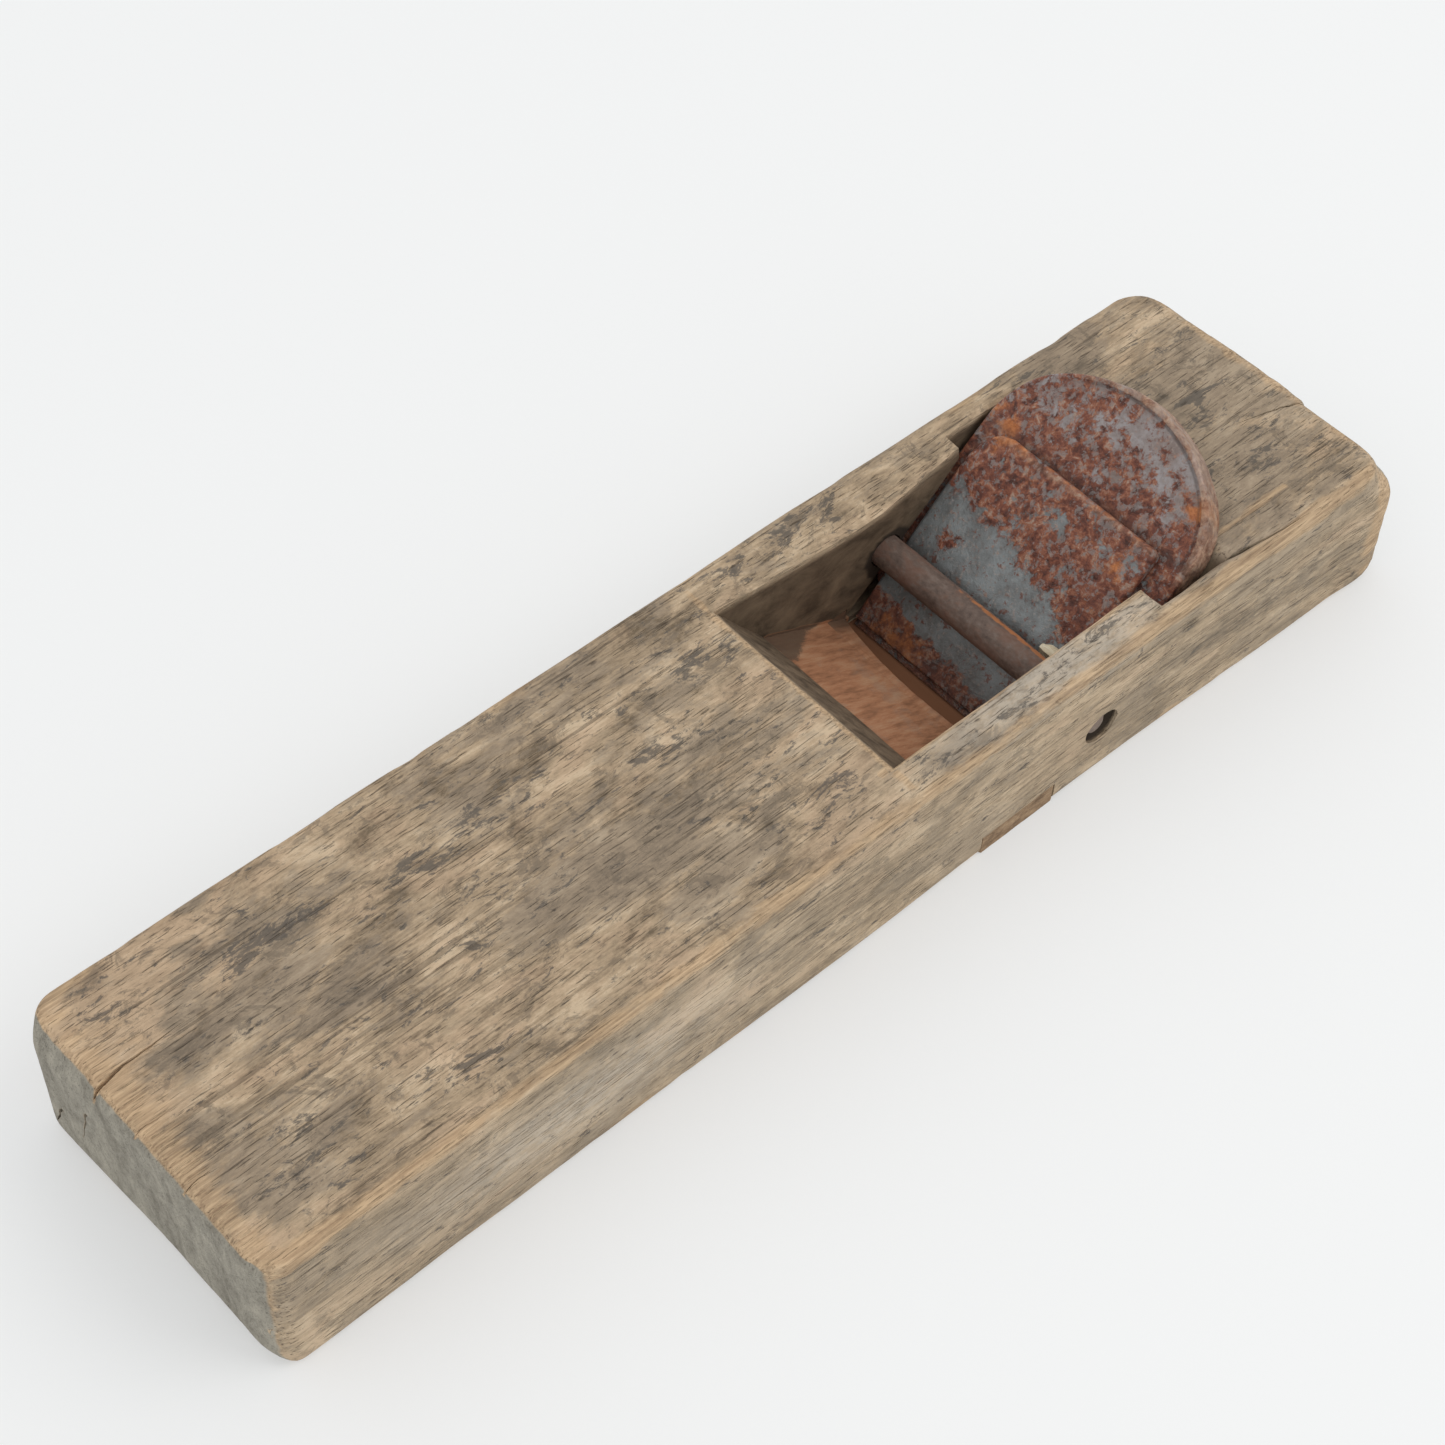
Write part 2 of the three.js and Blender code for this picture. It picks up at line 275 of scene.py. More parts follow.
def block_rings(sizes):
    """A rounded rectangle in YZ carried along X. Its half width follows the plan's corner arcs, its top and
    bottom follow the broken end edges, and its four corner radii wander along the block with wear. At each
    end the last rectangle shrinks to its middle in even steps."""
    half, side, top = half_sizes(sizes)
    worn = sizes.edge_wear / MM
    near, far, arris = sizes.near_corner / MM, sizes.far_corner / MM, 2.2
    turn = np.linspace(0, np.pi / 2, 11)[1:]
    middle = np.linspace(-half + near, half - far, 272)
    x = np.concatenate([(-half + near * (1 - np.sin(turn)))[::-1], middle, half - far * (1 - np.sin(turn))])
    corner = np.where(x < 0, near, far)
    over = np.maximum(0, np.abs(x) - (half - corner))
    breadth = side - corner + np.sqrt(corner ** 2 - over ** 2)
    over = np.minimum(arris, np.maximum(0, np.abs(x) - (half - arris)))
    inset = arris - np.sqrt(arris ** 2 - over ** 2)
    high, low = top - inset, inset
    wander = [line_field(x, 34, seed, 3) for seed in (11, 12, 13, 14)]
    base = [0.85, 1.25, 0.9, 0.8]
    radii = [np.maximum(0.35, worn * (b + 0.26 * w)) for b, w in zip(base, wander)]
    signs = [(1, 1), (-1, 1), (-1, -1), (1, -1)]
    spans, arc = [66, 26, 34, 26], 6
    parts = []
    for k, (sy, sz) in enumerate(signs):
        r = radii[k][:, None]
        cy = sy * (breadth[:, None] - r)
        cz = np.where(sz > 0, high[:, None] - r, low[:, None] + r)
        angle = np.pi / 2 * (k + np.linspace(0, 1, arc))[None, :]
        parts.append(np.stack([cy + r * np.cos(angle), cz + r * np.sin(angle)], -1))
    pieces = []
    for k in range(4):
        pieces.append(parts[k])
        start, stop = parts[k][:, -1:], parts[(k + 1) % 4][:, :1]
        share = np.linspace(0, 1, spans[k] + 2)[1:-1][None, :, None]
        pieces.append(start + (stop - start) * share)
    section = np.concatenate(pieces, 1)
    rings = np.concatenate([np.broadcast_to(x[:, None, None], section.shape[:2] + (1,)), section], -1)
    caps = [shrunk(rings[end], np.linspace(1, 0.04, 24)[1:], np.array([x[end], 0, top / 2]))
            for end in (0, -1)]
    return np.concatenate([caps[0][::-1], rings, caps[1]])


def cheek_dip(x):
    """How far the far cheek's inner edge is worn down at x, on straight lines between a few stations."""
    return np.interp(x, [4, 11, 24, 36, 47, 54, 64, 76, 90], [0.2, 1.2, 2.6, 3.3, 4.1, 4.2, 2.6, 0.9, 0])


def wear_block(rings, sizes):
    """Lifts the lower end edges, dips the far cheek beside the well, leans the far end out below its struck
    top edge, and roughens the skin along its normals with broad waves and with fibres that run along the
    grain."""
    half, _, top = half_sizes(sizes)
    x, y, z = (rings[..., k].copy() for k in range(3))
    heel = 3.2 * fade(half - 5.5, half + 0.5, x + 1.0 * line_field(y, 9, 21))
    toe = 3.4 * fade(-half + 4.5, -half - 0.5, x + 0.8 * line_field(y, 12, 22))
    lift = heel + toe * (0.55 + 0.6 * fade(5, -30, y))
    z = lift + z * (1 - lift / top)
    dip = cheek_dip(x) * fade(33.5, 23.5, y) * fade(18, 24, y) * fade(20, 34, z)
    z = z - dip
    split_off = fade(-11.2, -10.2, y) * (1 - 0.8 * fade(0, 26, y))
    lean = np.interp(z, [0, 20, 26, 31, top], [6.3, 6.0, 4.8, 2.2, 0.4]) + 0.9 * split_off - 0.5 \
        + 0.3 * line_field(y, 13, 23)
    sharp = fade(half - 12, half - 2, x) * fade(-22, -32, y) * fade(31, 22, z)
    skew = 1.5 * fade(half - 16, half, -x) * fade(-5, 30, y) * fade(34, 27, z)
    x = x + lean * fade(half - 16, half, x) - skew
    x = x + 2.2 * sharp
    y = y - 1.25 * fade(50, half, x) * fade(0, -30, y) - 1.4 * sharp
    worn = np.stack([x, y, z], -1)
    normal = ring_normals(worn)
    broad = 0.15 * field(worn, (60, 22, 22), 31, 2)
    fibres = 0.10 * field(worn, (16, 2.1, 2.1), 33, 2)
    chips = field(worn, (7, 3.0, 3.0), 35, 2)
    edge = edge_closeness(worn, sizes)
    amount = broad + fibres * (1 - 0.6 * fade(half - 2, half, np.abs(worn[..., 0]))) \
        - edge * 0.26 * np.maximum(0, chips - 0.2)
    worn = worn + normal * amount[..., None]
    worn[..., 2] = np.maximum(worn[..., 2], 0)
    return worn


def edge_closeness(points, sizes):
    """1 at the block's long and end edges, falling to 0 over about 4 mm. The second smallest of the three
    distances to the box's faces is small only near an edge."""
    half, side, top = half_sizes(sizes)
    x, y, z = (points[..., k] for k in range(3))
    away = np.stack([half - np.abs(x), side - np.abs(y), np.minimum(z, top - z)], -1)
    return 1 - fade(0.3, 4.2, np.sort(away, axis=-1)[..., 1])


def square_round(along_x, along_y):
    """Places round a unit square, with the outward direction at each: (a, b) and its sign towards each
    side."""
    s, t = np.linspace(0, 1, along_x + 1)[:-1], np.linspace(0, 1, along_y + 1)[:-1]
    zero_s, zero_t = 0 * s, 0 * t
    place = np.concatenate([
        np.stack([s, zero_s], -1), np.stack([zero_t + 1, t], -1),
        np.stack([1 - s, zero_s + 1], -1), np.stack([zero_t, 1 - t], -1),
    ])
    return place, np.where(place < 1e-6, -1.0, np.where(place > 1 - 1e-6, 1.0, 0.0))


def pit_rings(levels, front, back, right, left, top, rim, seed, rough=0.1, along_x=46, along_y=44):
    """A pit cutter: at each level z a rectangle from front(z) to back(z) and from right to left. Near the top
    it widens on a quarter circle of the rim's radius, so that the rim it leaves is rounded, and small random
    waves move its walls."""
    place, outward = square_round(along_x, along_y)
    z = levels[:, None] + 0 * place[None, :, 0]
    x = front[:, None] + place[None, :, 0] * (back - front)[:, None]
    y = right + place[None, :, 1] * (left - right)
    points = np.stack([x, y + 0 * z, z], -1)
    wander = 1 + 0.5 * field(points * [1, 1, 0], (9, 9, 1), seed, 2)
    radius = rim * wander
    climb = np.clip((z - (top - radius)) / radius, 0, 1)
    flare = radius * (1 - np.sqrt(1 - climb ** 2))
    tool = rough * (field(points, (6, 6, 4), seed + 5, 2))
    points[..., 0] += outward[None, :, 0] * (flare + tool)
    points[..., 1] += outward[None, :, 1] * (flare + tool)
    return points


def well_cutter(sizes):
    """The chip well: its front goes down the steep wall and the ramp to the mouth, its back down the bed."""
    top = sizes.height / MM
    levels = np.unique(np.concatenate([
        np.linspace(-1, MOUTH_LIP[0], 7), np.linspace(MOUTH_LIP[0], RAMP_TOP[0], 24),
        np.linspace(RAMP_TOP[0], 31.5, 24), np.linspace(31.5, TOP, 9), [34.8, OVER_TOP],
    ]))
    front = np.interp(levels, WELL_FRONT[:, 0], WELL_FRONT[:, 1])
    rings = pit_rings(levels, front, bed_x(levels), *WELL_Y, top, 0.8, 41)
    y, z = rings[..., 1], rings[..., 2]
    hollow = 1.0 * (1 - (y / 25) ** 2) * hump(3.5, 3.0, z) * (rings[..., 0] < 50)
    rings[..., 0] -= np.maximum(0, hollow)
    lean = np.interp(rings[..., 0], [8, 24, 45, 56, 70, 76], [0.3, 0.6, 1.1, 0.8, 0.2, 0.0])
    rings[..., 1] -= lean * fade(14, TOP, z) * (y > 20)
    return closed_skin("well cutter", rings)


def groove_cutter(sizes):
    """The blade's side grooves: wider than the well, from a line parallel to the blade's face to the bed."""
    top = sizes.height / MM
    levels = np.unique(np.concatenate([
        np.linspace(2, GROOVE_BEND, 36), np.linspace(GROOVE_BEND, TOP, 9), [34.8, OVER_TOP],
    ]))
    straight = face_line_x(GROOVE_FRONT_HEIGHT, levels)
    bent = np.interp(levels, [GROOVE_BEND, TOP],
                     [face_line_x(GROOVE_FRONT_HEIGHT, GROOVE_BEND), GROOVE_RIM_X])
    front = np.where(levels <= GROOVE_BEND, straight, bent)
    rings = pit_rings(levels, front, bed_x(levels), *GROOVE_Y, top, 0.9, 51, 0.12)
    return closed_skin("groove cutter", rings)


def round_rings(y, centre, radius, around=40):
    """A circle or ellipse in XZ carried along Y, with its own centre and radii at each station."""
    angle = np.linspace(0, 2 * np.pi, around + 1)[:-1]
    x = centre[:, :1] + radius[:, :1] * np.cos(angle)
    z = centre[:, 1:] + radius[:, 1:] * np.sin(angle)
    return np.stack([x, y[:, None] + 0 * x, z], -1)


def pin_hole_cutter():
    """The pin's hole: round through the block, and worn to a wider oval where it leaves the near side."""
    y = np.concatenate([np.linspace(-37, -33, 9), np.linspace(-32.4, -25, 10), np.linspace(-20, 36, 12)])
    out = fade(-29, -34.2, y)[:, None]
    centre = PIN_CENTRE + out * np.array([1.45, -2.05])
    radius = np.array([3.95, 3.95]) + out * np.array([0.35, -0.15])
    rings = round_rings(y, centre, radius)
    ragged = 0.14 * field(rings, (3, 3, 3), 61, 2)
    rings += ragged[..., None] * [1, 0, 1]
    return closed_skin("hole cutter", rings)


def patch_section(inset, rows, hollow):
    """Corner points of the mouth patch's section in XZ. In the well it is cut off by the ramp and by the
    mouth, whose edge is worn back up the ramp by the hollow."""
    lip = MOUTH_LIP[1] - hollow
    lip_z = np.interp(lip, [RAMP_TOP[1], MOUTH_LIP[1]], [RAMP_TOP[0], MOUTH_LIP[0]])
    plain = np.ones_like(hollow)
    in_well = [(PATCH_X[0] * plain, 0 * plain), (lip - 0.6, 0 * plain),
               (lip, np.minimum(lip_z, PATCH_TOP - 0.1)), (np.minimum(42.06, lip - 0.1), PATCH_TOP * plain),
               (PATCH_X[0] * plain, PATCH_TOP * plain)]
    in_well = np.stack([np.stack(corner, -1) for corner in in_well], 1)
    outside = np.array([[PATCH_X[0], 0], [PATCH_X[1], 0], [PATCH_X[1], MOUTH_LIP[0]],
                        [PATCH_X[1], PATCH_TOP], [PATCH_X[0], PATCH_TOP]])
    corners = np.where(rows[:, None, None], in_well, outside)
    share = np.linspace(0, 1, 9)[:-1][None, None, :, None]
    following = np.roll(corners, -1, 1)
    section = corners[:, :, None] + (following - corners)[:, :, None] * share
    section = section.reshape(len(rows), -1, 2)
    middle = section.mean(1, keepdims=True)
    return middle + (section - middle) * (1 - inset[:, None, None])


def patch_rings(half_width):
    """The patch's section carried across the block, with its ends slightly rounded and roughened."""
    rounding = np.array([0, 0.08, 0.25, 0.7])
    y = np.concatenate([rounding - half_width, np.linspace(-32, -24.92, 7), np.linspace(*WELL_Y, 46),
                        np.linspace(24.82, 32, 7), half_width - rounding[::-1]])
    inside = (y > -24.91) & (y < 24.81)
    inset = 0.02 * fade(half_width - 0.5, half_width, np.abs(y))
    hollow = np.maximum(0, 4.2 * (1 - ((y + 2) / 26.5) ** 2) + 0.12 * line_field(y, 3, 73))
    section = patch_section(inset, inside, hollow)
    rings = np.stack([section[..., 0], np.broadcast_to(y[:, None], section.shape[:2]), section[..., 1]], -1)
    caps = [shrunk(rings[end], np.linspace(1, 0.1, 8)[1:]) for end in (0, -1)]
    rings = np.concatenate([caps[0][::-1], rings, caps[1]])
    rings[..., 1] += 0.06 * field(rings, (2, 8, 1), 71, 2) * (np.abs(rings[..., 1]) > half_width - 1)
    return rings


def box_rings(low, high):
    """A plain box as four rings, for cutters."""
    (x0, y0, z0), (x1, y1, z1) = low, high
    ring = np.array([[x0, y0], [x1, y0], [x1, y1], [x0, y1]])
    return np.array([[[x, y, z] for x, y in ring] for z in (z0, z0 + (z1 - z0) / 3, z1)])


def face_cutter(corners):
    """A section drawn in (u, h) on the blade's face and carried straight across, past both sides."""
    u, h = np.transpose(corners)
    return closed_skin("seam cutter", np.array([on_face(u, y, h) for y in (-PAST_SIDE, 0.0, PAST_SIDE)]))


def crack_rings(path, opening, inwards, depth):
    """A thin wedge carried along a crooked path: open above the surface, and closed at the given depth. Its
    opening shrinks to nothing towards the end of the path."""
    path = np.asarray(path, float)
    share = np.linspace(0, 1, 18)
    station = np.stack([np.interp(share, np.linspace(0, 1, len(path)), path[:, k]) for k in range(3)], -1)
    inwards = np.asarray(inwards, float)
    across = np.cross(np.gradient(station, axis=0), inwards)
    across /= np.linalg.norm(across, axis=-1, keepdims=True)
    station = station + across * (0.22 * line_field(share * 10, 1.3, 81 + len(path)))[:, None]
    half = (opening / 2 * (1 - 0.93 * share ** 1.5))[:, None]
    deep = (depth * (1 - 0.7 * share))[:, None]
    spread, outside = across * half * 1.4, inwards * 1.5
    return np.stack([station - spread - outside, station + spread - outside, station + inwards * deep], 1)


def block_cracks():
    """Splits at both ends: along the top, down the near end face, and behind the near side groove."""
    down, along, back, inner = (0, 0, -1), (1, 0, 0), (-1, 0, 0), (0, 1, 0)
    cracks = [
        ([(-140, 12.2, 34), (-131, 13.3, 34), (-119, 13.8, 34)], 1.0, down, 4.0),
        ([(-138, 12.3, 35), (-138, 12.6, 32), (-138, 13.0, 30)], 0.6, along, 3.0),
        ([(-138, 16.4, 22.6), (-138, 17.6, 18), (-138, 19.8, 10.6)], 0.5, along, 2.4),
        ([(-138, 25.5, 13.0), (-138, 27.6, 8), (-138, 30.0, 2.4)], 0.5, along, 2.4),
        ([(-138, -31.6, 13.0), (-138, -31.9, 10), (-138, -32.3, 8)], 0.4, along, 1.5),
        ([(91.5, -30.0, 34), (103, -31.9, 34), (116, -33.0, 34)], 0.9, down, 3.4),
        ([(141, -12.6, 34), (136, -11.0, 34), (131, -9.3, 34), (121, -6.8, 34)], 0.9, down, 2.6),
        ([(139.5, -11.0, 35), (141.5, -11.2, 28), (143, -11.6, 20)], 0.6, back, 2.4),
        ([(-140, 1.5, 34), (-135, 1.2, 34), (-131, 1.0, 34)], 0.4, down, 1.5),
        ([(-140, -12.6, 34), (-134, -12.4, 34), (-129, -12.8, 34)], 0.4, down, 1.5),
        ([(-92, -34, 7.4), (-68, -34, 6.2), (-44, -34, 5.2)], 0.3, inner, 0.9),
        ([(142, 17.0, 28), (143, 17.8, 20), (143, 18.1, 12)], 0.5, back, 2.0),
    ]
    return [closed_skin("crack cutter", crack_rings(*crack)) for crack in cracks]


def block_masks(piece, sizes):
    """Zones of the block (broken edges, end grain, walls of the well and its ramp) and marks on it (stains, a
    smudge along the near side, painted shadow over the upper ramp, and scuffs), as sums of bells round the
    place of each."""
    points, normals = mesh_points(piece), mesh_points(piece, "normal", 1)
    x, y, z = points.T
    half, side, top = half_sizes(sizes)
    in_well = (x > 6) & (x < 118) & (np.abs(y) < 31.4) & (z > 0.25)
    walls = in_well * fade(top - 0.5, top - 2.6, z)
    dip = (y > 22.5) & (x > 4) & (x < 92) & (y < 31.4)
    walls = np.where(dip, in_well * fade(top - cheek_dip(x) - 0.8, top - cheek_dip(x) - 2.4, z)
                     * ((normals[:, 2] < 0.75) | (z < 26)), walls)
    # Painted shade: the bed's lower edge at the sole takes the dark wall tone, as the shade in the mouth
    # slit.
    bed_edge = (np.abs(x - bed_x(0.0)) < 0.8) & (np.abs(y) < 25.5) & (z < 0.3)
    walls = np.maximum(walls, bed_edge)
    # Painted shade: the pin hole's walls are marked to come out nearly black, for the dark gap round the pin.
    in_hole = (np.hypot(x - 58, z - 14.8) < 6.5) & (np.abs(y) < 33.2) & (np.abs(y) > 24)
    walls = np.maximum(walls, in_hole)
    ramp_x = np.interp(z, WELL_FRONT[:, 0], WELL_FRONT[:, 1])
    ramp = in_well * (np.abs(x - ramp_x) < 1.6) * (z < 14.2) * (z > 0.5) * (np.abs(y) < 25.3)
    end = fade(0.55, 0.85, np.abs(normals[:, 0])) * (np.abs(x) > half - 6)
    edge = edge_closeness(points, sizes) * (1 - walls)
    edge = edge * (1 - 0.45 * (y > 20)) * (1 - 0.4 * (z < 8))
    from_rim = np.minimum(np.abs(y - WELL_Y[0]), np.abs(x - WELL_RIM_X))
    rim = (1 - fade(0.2, 1.6, from_rim)) * (z > top - 2) * in_well
    near_end = (0.45 * fade(-117, -132, x) + 0.55 * fade(-130, -136, x)) * (z > top - 4)
    write_masks(piece, [np.clip(np.maximum(edge, rim) + near_end, 0, 1), end, walls, ramp])
    stains = sum(strength * hump(at_x, long, x) * hump(at_y, wide, y)
                 for at_x, at_y, long, wide, strength in STAINS)
    stains = stains * (z > top - 3)
    smudge = hump(102, 30, x) * hump(18 - 0.03 * (x - 60), 5, z) * (y < -side + 4)
    # Painted shadow over the upper ramp; its edge comes lower towards the far wall.
    shadow_edge = np.interp(y, [8, 17, 24, 25], [17.5, 13.1, 7.7, 6.0])
    ramp_shadow = ramp * fade(shadow_edge - 1.8, shadow_edge + 1.8, z)
    pale = hump(-72, 34, x) * hump(17, 9, z) * (y < -side + 3) \
        + (z > top - 3) * 1.3 * hump(-28, 6, y) * hump(50, 30, x)
    write_masks(piece, [stains, smudge, ramp_shadow, pale], "marks")
    warm = hump(-118, 30, x) * hump(22, 17, y) + 0.6 * hump(-134, 9, x)
    dull = 0.8 * fade(-70, -10, x) * fade(30, 0, np.abs(y + 4)) + 0.6 * fade(84, 100, x)
    ruled = hump(-5, 10, y) * fade(-40, -75, x) + 0.5 * (y < -side + 2)
    write_masks(piece, [warm * (z > top - 4), dull * (z > top - 4), ruled, in_hole], "tones")


# ---- Irons ----

def closed_outline(corners, count):
    """Evenly spaced places round a closed line through the corners, from the running length of its sides."""
    corners = np.asarray(corners, float)
    loop = np.concatenate([corners, corners[:1]])
    run = np.concatenate([[0], np.cumsum(np.linalg.norm(np.diff(loop, axis=0), axis=1))])
    at = np.linspace(0, run[-1], count + 1)[:-1]
    return np.stack([np.interp(at, run, loop[:, k]) for k in range(2)], -1)


def outline_normals(outline):
    """The direction away from the plate, square to the line from the place before to the place after."""
    step = np.roll(outline, -1, 0) - np.roll(outline, 1, 0)
    normal = np.stack([step[:, 1], -step[:, 0]], -1)
    normal /= np.linalg.norm(normal, axis=1, keepdims=True)
    side = np.sign(np.sum(normal * (outline - outline.mean(0))))
    return normal * side


def plate_rings(outline, front, back, arris, spine, steps=22):
    """A plate on the blade's face. Rings of its front grow from the spine, a line up its middle, to its
    outline, turn over the front edge on a quarter circle, go down the side and round the back edge, and
    shrink to the spine again. front(u, y) and back(u, y) give the heights of its two surfaces."""
    normal = outline_normals(outline)
    middle = np.stack([np.clip(outline[:, 0], *spine), 0 * outline[:, 1] + outline[:, 1].mean()], -1)
    inner = np.concatenate([np.linspace(0.03, 0.88, steps - 10), np.linspace(0.89, 1, 14)])
    turn = np.linspace(0, np.pi / 2, 5)
    thick = front(*outline.T) - back(*outline.T)
    radius = np.minimum(arris, 0.45 * thick)[:, None]

    def at(ring, surface, lowered=0.0):
        return on_face(ring[:, 0], ring[:, 1], surface(*ring.T) + lowered)

    edge = outline - normal * radius
    rings = [at(middle + (edge - middle) * share, front) for share in inner]
    for angle in turn[1:]:
        ring = edge + normal * radius * np.sin(angle)
        rings.append(on_face(ring[:, 0], ring[:, 1], front(*edge.T) - radius[:, 0] * (1 - np.cos(angle))))
    top, bottom = front(*edge.T) - radius[:, 0], back(*edge.T) + radius[:, 0]
    for share in (0.25, 0.5, 0.75):
        rings.append(on_face(outline[:, 0], outline[:, 1], top + (bottom - top) * share))
    for angle in turn[::-1]:
        ring = edge + normal * radius * np.sin(angle)
        rings.append(on_face(ring[:, 0], ring[:, 1], back(*edge.T) + radius[:, 0] * (1 - np.cos(angle))))
    rings += [at(middle + (edge - middle) * share, back) for share in inner[::-1][1:]]
    return np.array(rings)


def blade_outline(sizes):
    """Ground corners at the cutting edge, straight sides, and a half ellipse as the struck, uneven head."""
    half, rise = sizes.half_width / MM, sizes.head_rise / MM
    angle = np.linspace(-np.pi / 2, np.pi / 2, 60)
    head = np.stack([SHOULDER + rise * np.cos(angle), half * np.sin(angle)], -1)
    head[:, 1] -= 0.9 * fade(14, 27, head[:, 1]) * fade(70, 56, head[:, 0])
    head[:, 0] += 0.35 * line_field(head[:, 1], 9, 91)
    flank = [(12.8, 28.0), (9.0, 24.1), (EDGE_START, 24.1), (EDGE_START, -24.1), (9.0, -24.1), (12.8, -28.0)]
    outline = closed_outline(np.concatenate([head, [(40, 27.4)], flank, [(40, -27.9)]]), 300)
    return outline + [0, BLADE_MIDDLE_Y]


def head_reach(u, y):
    """How far out a place on the blade's face lies: 1 on the rounded head's edge, less inside it."""
    return np.hypot(np.maximum(0, u - SHOULDER) / HEAD_RISE, (y - BLADE_MIDDLE_Y) / BLADE_HALF)


def blade_rings(sizes):
    """The whole blade: flat face with a burr hammered up round part of its head, back that tapers towards the
    cutting edge, and the sharpening bevel."""
    def front(u, y):
        spot = np.stack([u, y, 0 * u], -1)
        burr = 0.42 * fade(0.930, 0.955, head_reach(u, y)) * fade(24, 6, y) * fade(40, 52, u)
        return 0.05 * field(spot, (5, 5, 1), 93, 3) + burr * (1 + 0.4 * field(spot, (4, 4, 1), 94))

    def back(u, y):
        bevel = np.maximum(0.06, (u - EDGE_START) * BEVEL_SLOPE)
        return -np.minimum(BLADE_FOOT_THICKNESS + WEDGE_SLOPE * u, bevel)

    return plate_rings(blade_outline(sizes), front, back, sizes.arris / MM, (16, 56))


def breaker_outline():
    """Square at the lower edge, a small round at the upper right corner, and the upper left one bent away."""
    right, left, top = -21.9, 24.2, 50.0
    corners = [(2.0, right), (top - 1.4, right - 0.1), (top - 0.5, right + 0.3), (top - 0.1, right + 1.2),
               (top + 0.1, 0.0), (top + 0.2, 17.6), (top - 0.6, 20.4), (top - 2.1, 22.2), (top - 4.6, 23.3),
               (top - 8.0, left - 0.2), (30, left), (2.0, left)]
    return closed_outline(corners, 280)


def breaker_rings(sizes):
    """The chip breaker: thin at its lower edge, thicker upwards, its upper corners bent down to the blade."""
    def ears(u, y):
        return hump(49.5, 5.0, u) * (hump(-20.5, 3.5, y) + hump(21.5, 5.5, y))

    def front(u, y):
        spot = np.stack([u, y, 0 * u + 9], -1)
        rise = np.interp(u, [2, 9, 51], [0.95, 1.5, 3.3])
        return rise - 1.35 * hump(50, 6, u) * hump(23.5, 5.5, y) + 0.06 * field(spot, (6, 6, 1), 95, 3)

    def back(u, y):
        return np.maximum(0.12, np.interp(u, [2, 51], [0.3, 1.0]) - 0.75 * ears(u, y))

    return plate_rings(breaker_outline(), front, back, sizes.arris / MM, (18, 34))


def iron_masks(piece, rust, orange, painted_shade, rim):
    """Zones of an iron: how rusted, how orange, how much painted shade, and how near its worn rim, from its
    own u and y.
    """
    points = mesh_points(piece)
    u, h = face_place(points)
    write_masks(piece, [f(u, points[:, 1], h) for f in (rust, orange, painted_shade, rim)])


def pin_rings():
    """A forged rod: nearly round, its flats and waves wandering along it. Its near end is drawn down a little
    and leans to the low side of its hole, and both ends are domed."""
    low, high = PIN_LOW.y / MM + 0.2, PIN_HIGH.y / MM
    y = np.concatenate([low + np.array([0.05, 0.15, 0.35, 0.7, 1.2]), np.linspace(low + 2, high - 2, 110),
                        high - np.array([1.2, 0.7, 0.35, 0.15, 0.05])])
    end = np.minimum(y - low, high - y)
    dome = 1 - 0.34 * (1 - np.clip(end / 1.3, 0, 1)) ** 2
    out = fade(-27, -33, y)[:, None]
    wander = np.stack([line_field(y, 14, 101), line_field(y, 11, 102)], -1)
    centre = PIN_CENTRE + out * np.array([0.35, -1.0]) + 0.08 * wander
    radius = (3.58 * (1 - 0.2 * out[:, 0]) * dome)[:, None] + 0 * centre
    rings = round_rings(y, centre, radius, 56)
    relief = 0.11 * field(rings, (2.6, 9, 2.6), 103, 2) + 0.035 * field(rings, (0.9, 1.6, 0.9), 105, 2)
    axis = np.stack([centre[:, :1] + 0 * rings[..., 0], rings[..., 1], centre[:, 1:] + 0 * rings[..., 0]], -1)
    spoke = rings - axis
    spoke /= np.linalg.norm(spoke, axis=-1, keepdims=True)
    rings = rings + spoke * (relief * fade(0, 1, end)[:, None])[..., None]
    shares = np.linspace(1, 0.08, 7)[1:]
    bulge = 0.04 * (1 - shares[:, None, None]) * np.array([0, 1, 0])
    caps = shrunk(rings[0], shares) - bulge, shrunk(rings[-1], shares) + bulge
    return np.concatenate([caps[0][::-1], rings, caps[1]])


def splinter_rings():
    """A split of pale wood: a five-sided section on the blade's face carried across, tapering to a torn
    tip."""
    y = np.concatenate([np.linspace(-23.6, -23.2, 4), np.linspace(-22.9, -14.6, 26),
                        np.linspace(-14.4, -13.8, 5)])
    section = np.array([[19.4, 2.3], [21.4, 2.35], [23.3, 2.45], [23.2, 3.1], [23.1, 3.7], [22.2, 4.1],
                        [21.3, 4.4], [20.95, 3.8], [20.6, 3.25], [20.0, 2.8]])
    middle = section.mean(0)
    taper = 1 - 0.5 * fade(-15.6, -13.8, y) - 0.2 * fade(-23.2, -23.6, y)
    size = taper * (0.95 + 0.05 * line_field(y, 2.1, 111))
    shape = middle + (section - middle) * size[:, None, None]
    rings = on_face(shape[..., 0], y[:, None], shape[..., 1])
    return rings + 0.07 * field(rings, (0.8, 3.0, 0.8), 113, 2)[..., None] * [1, 0, 1]


# ---- Finishes ----

def shade(colour, share):
    """The colour made darker, down to this share of it."""
    return tuple(share * v for v in colour)


class Tone:
    """A number or colour inside a finish. Sums, differences and products of tones add the nodes for them."""

    def __init__(self, finish, socket):
        self.finish, self.socket = finish, socket

    def __add__(self, other):
        return self.finish.math("ADD", self, other)

    def __sub__(self, other):
        return self.finish.math("SUBTRACT", self, other)

    def __rsub__(self, other):
        return self.finish.math("SUBTRACT", other, self)

    def __mul__(self, other):
        return self.finish.math("MULTIPLY", self, other)


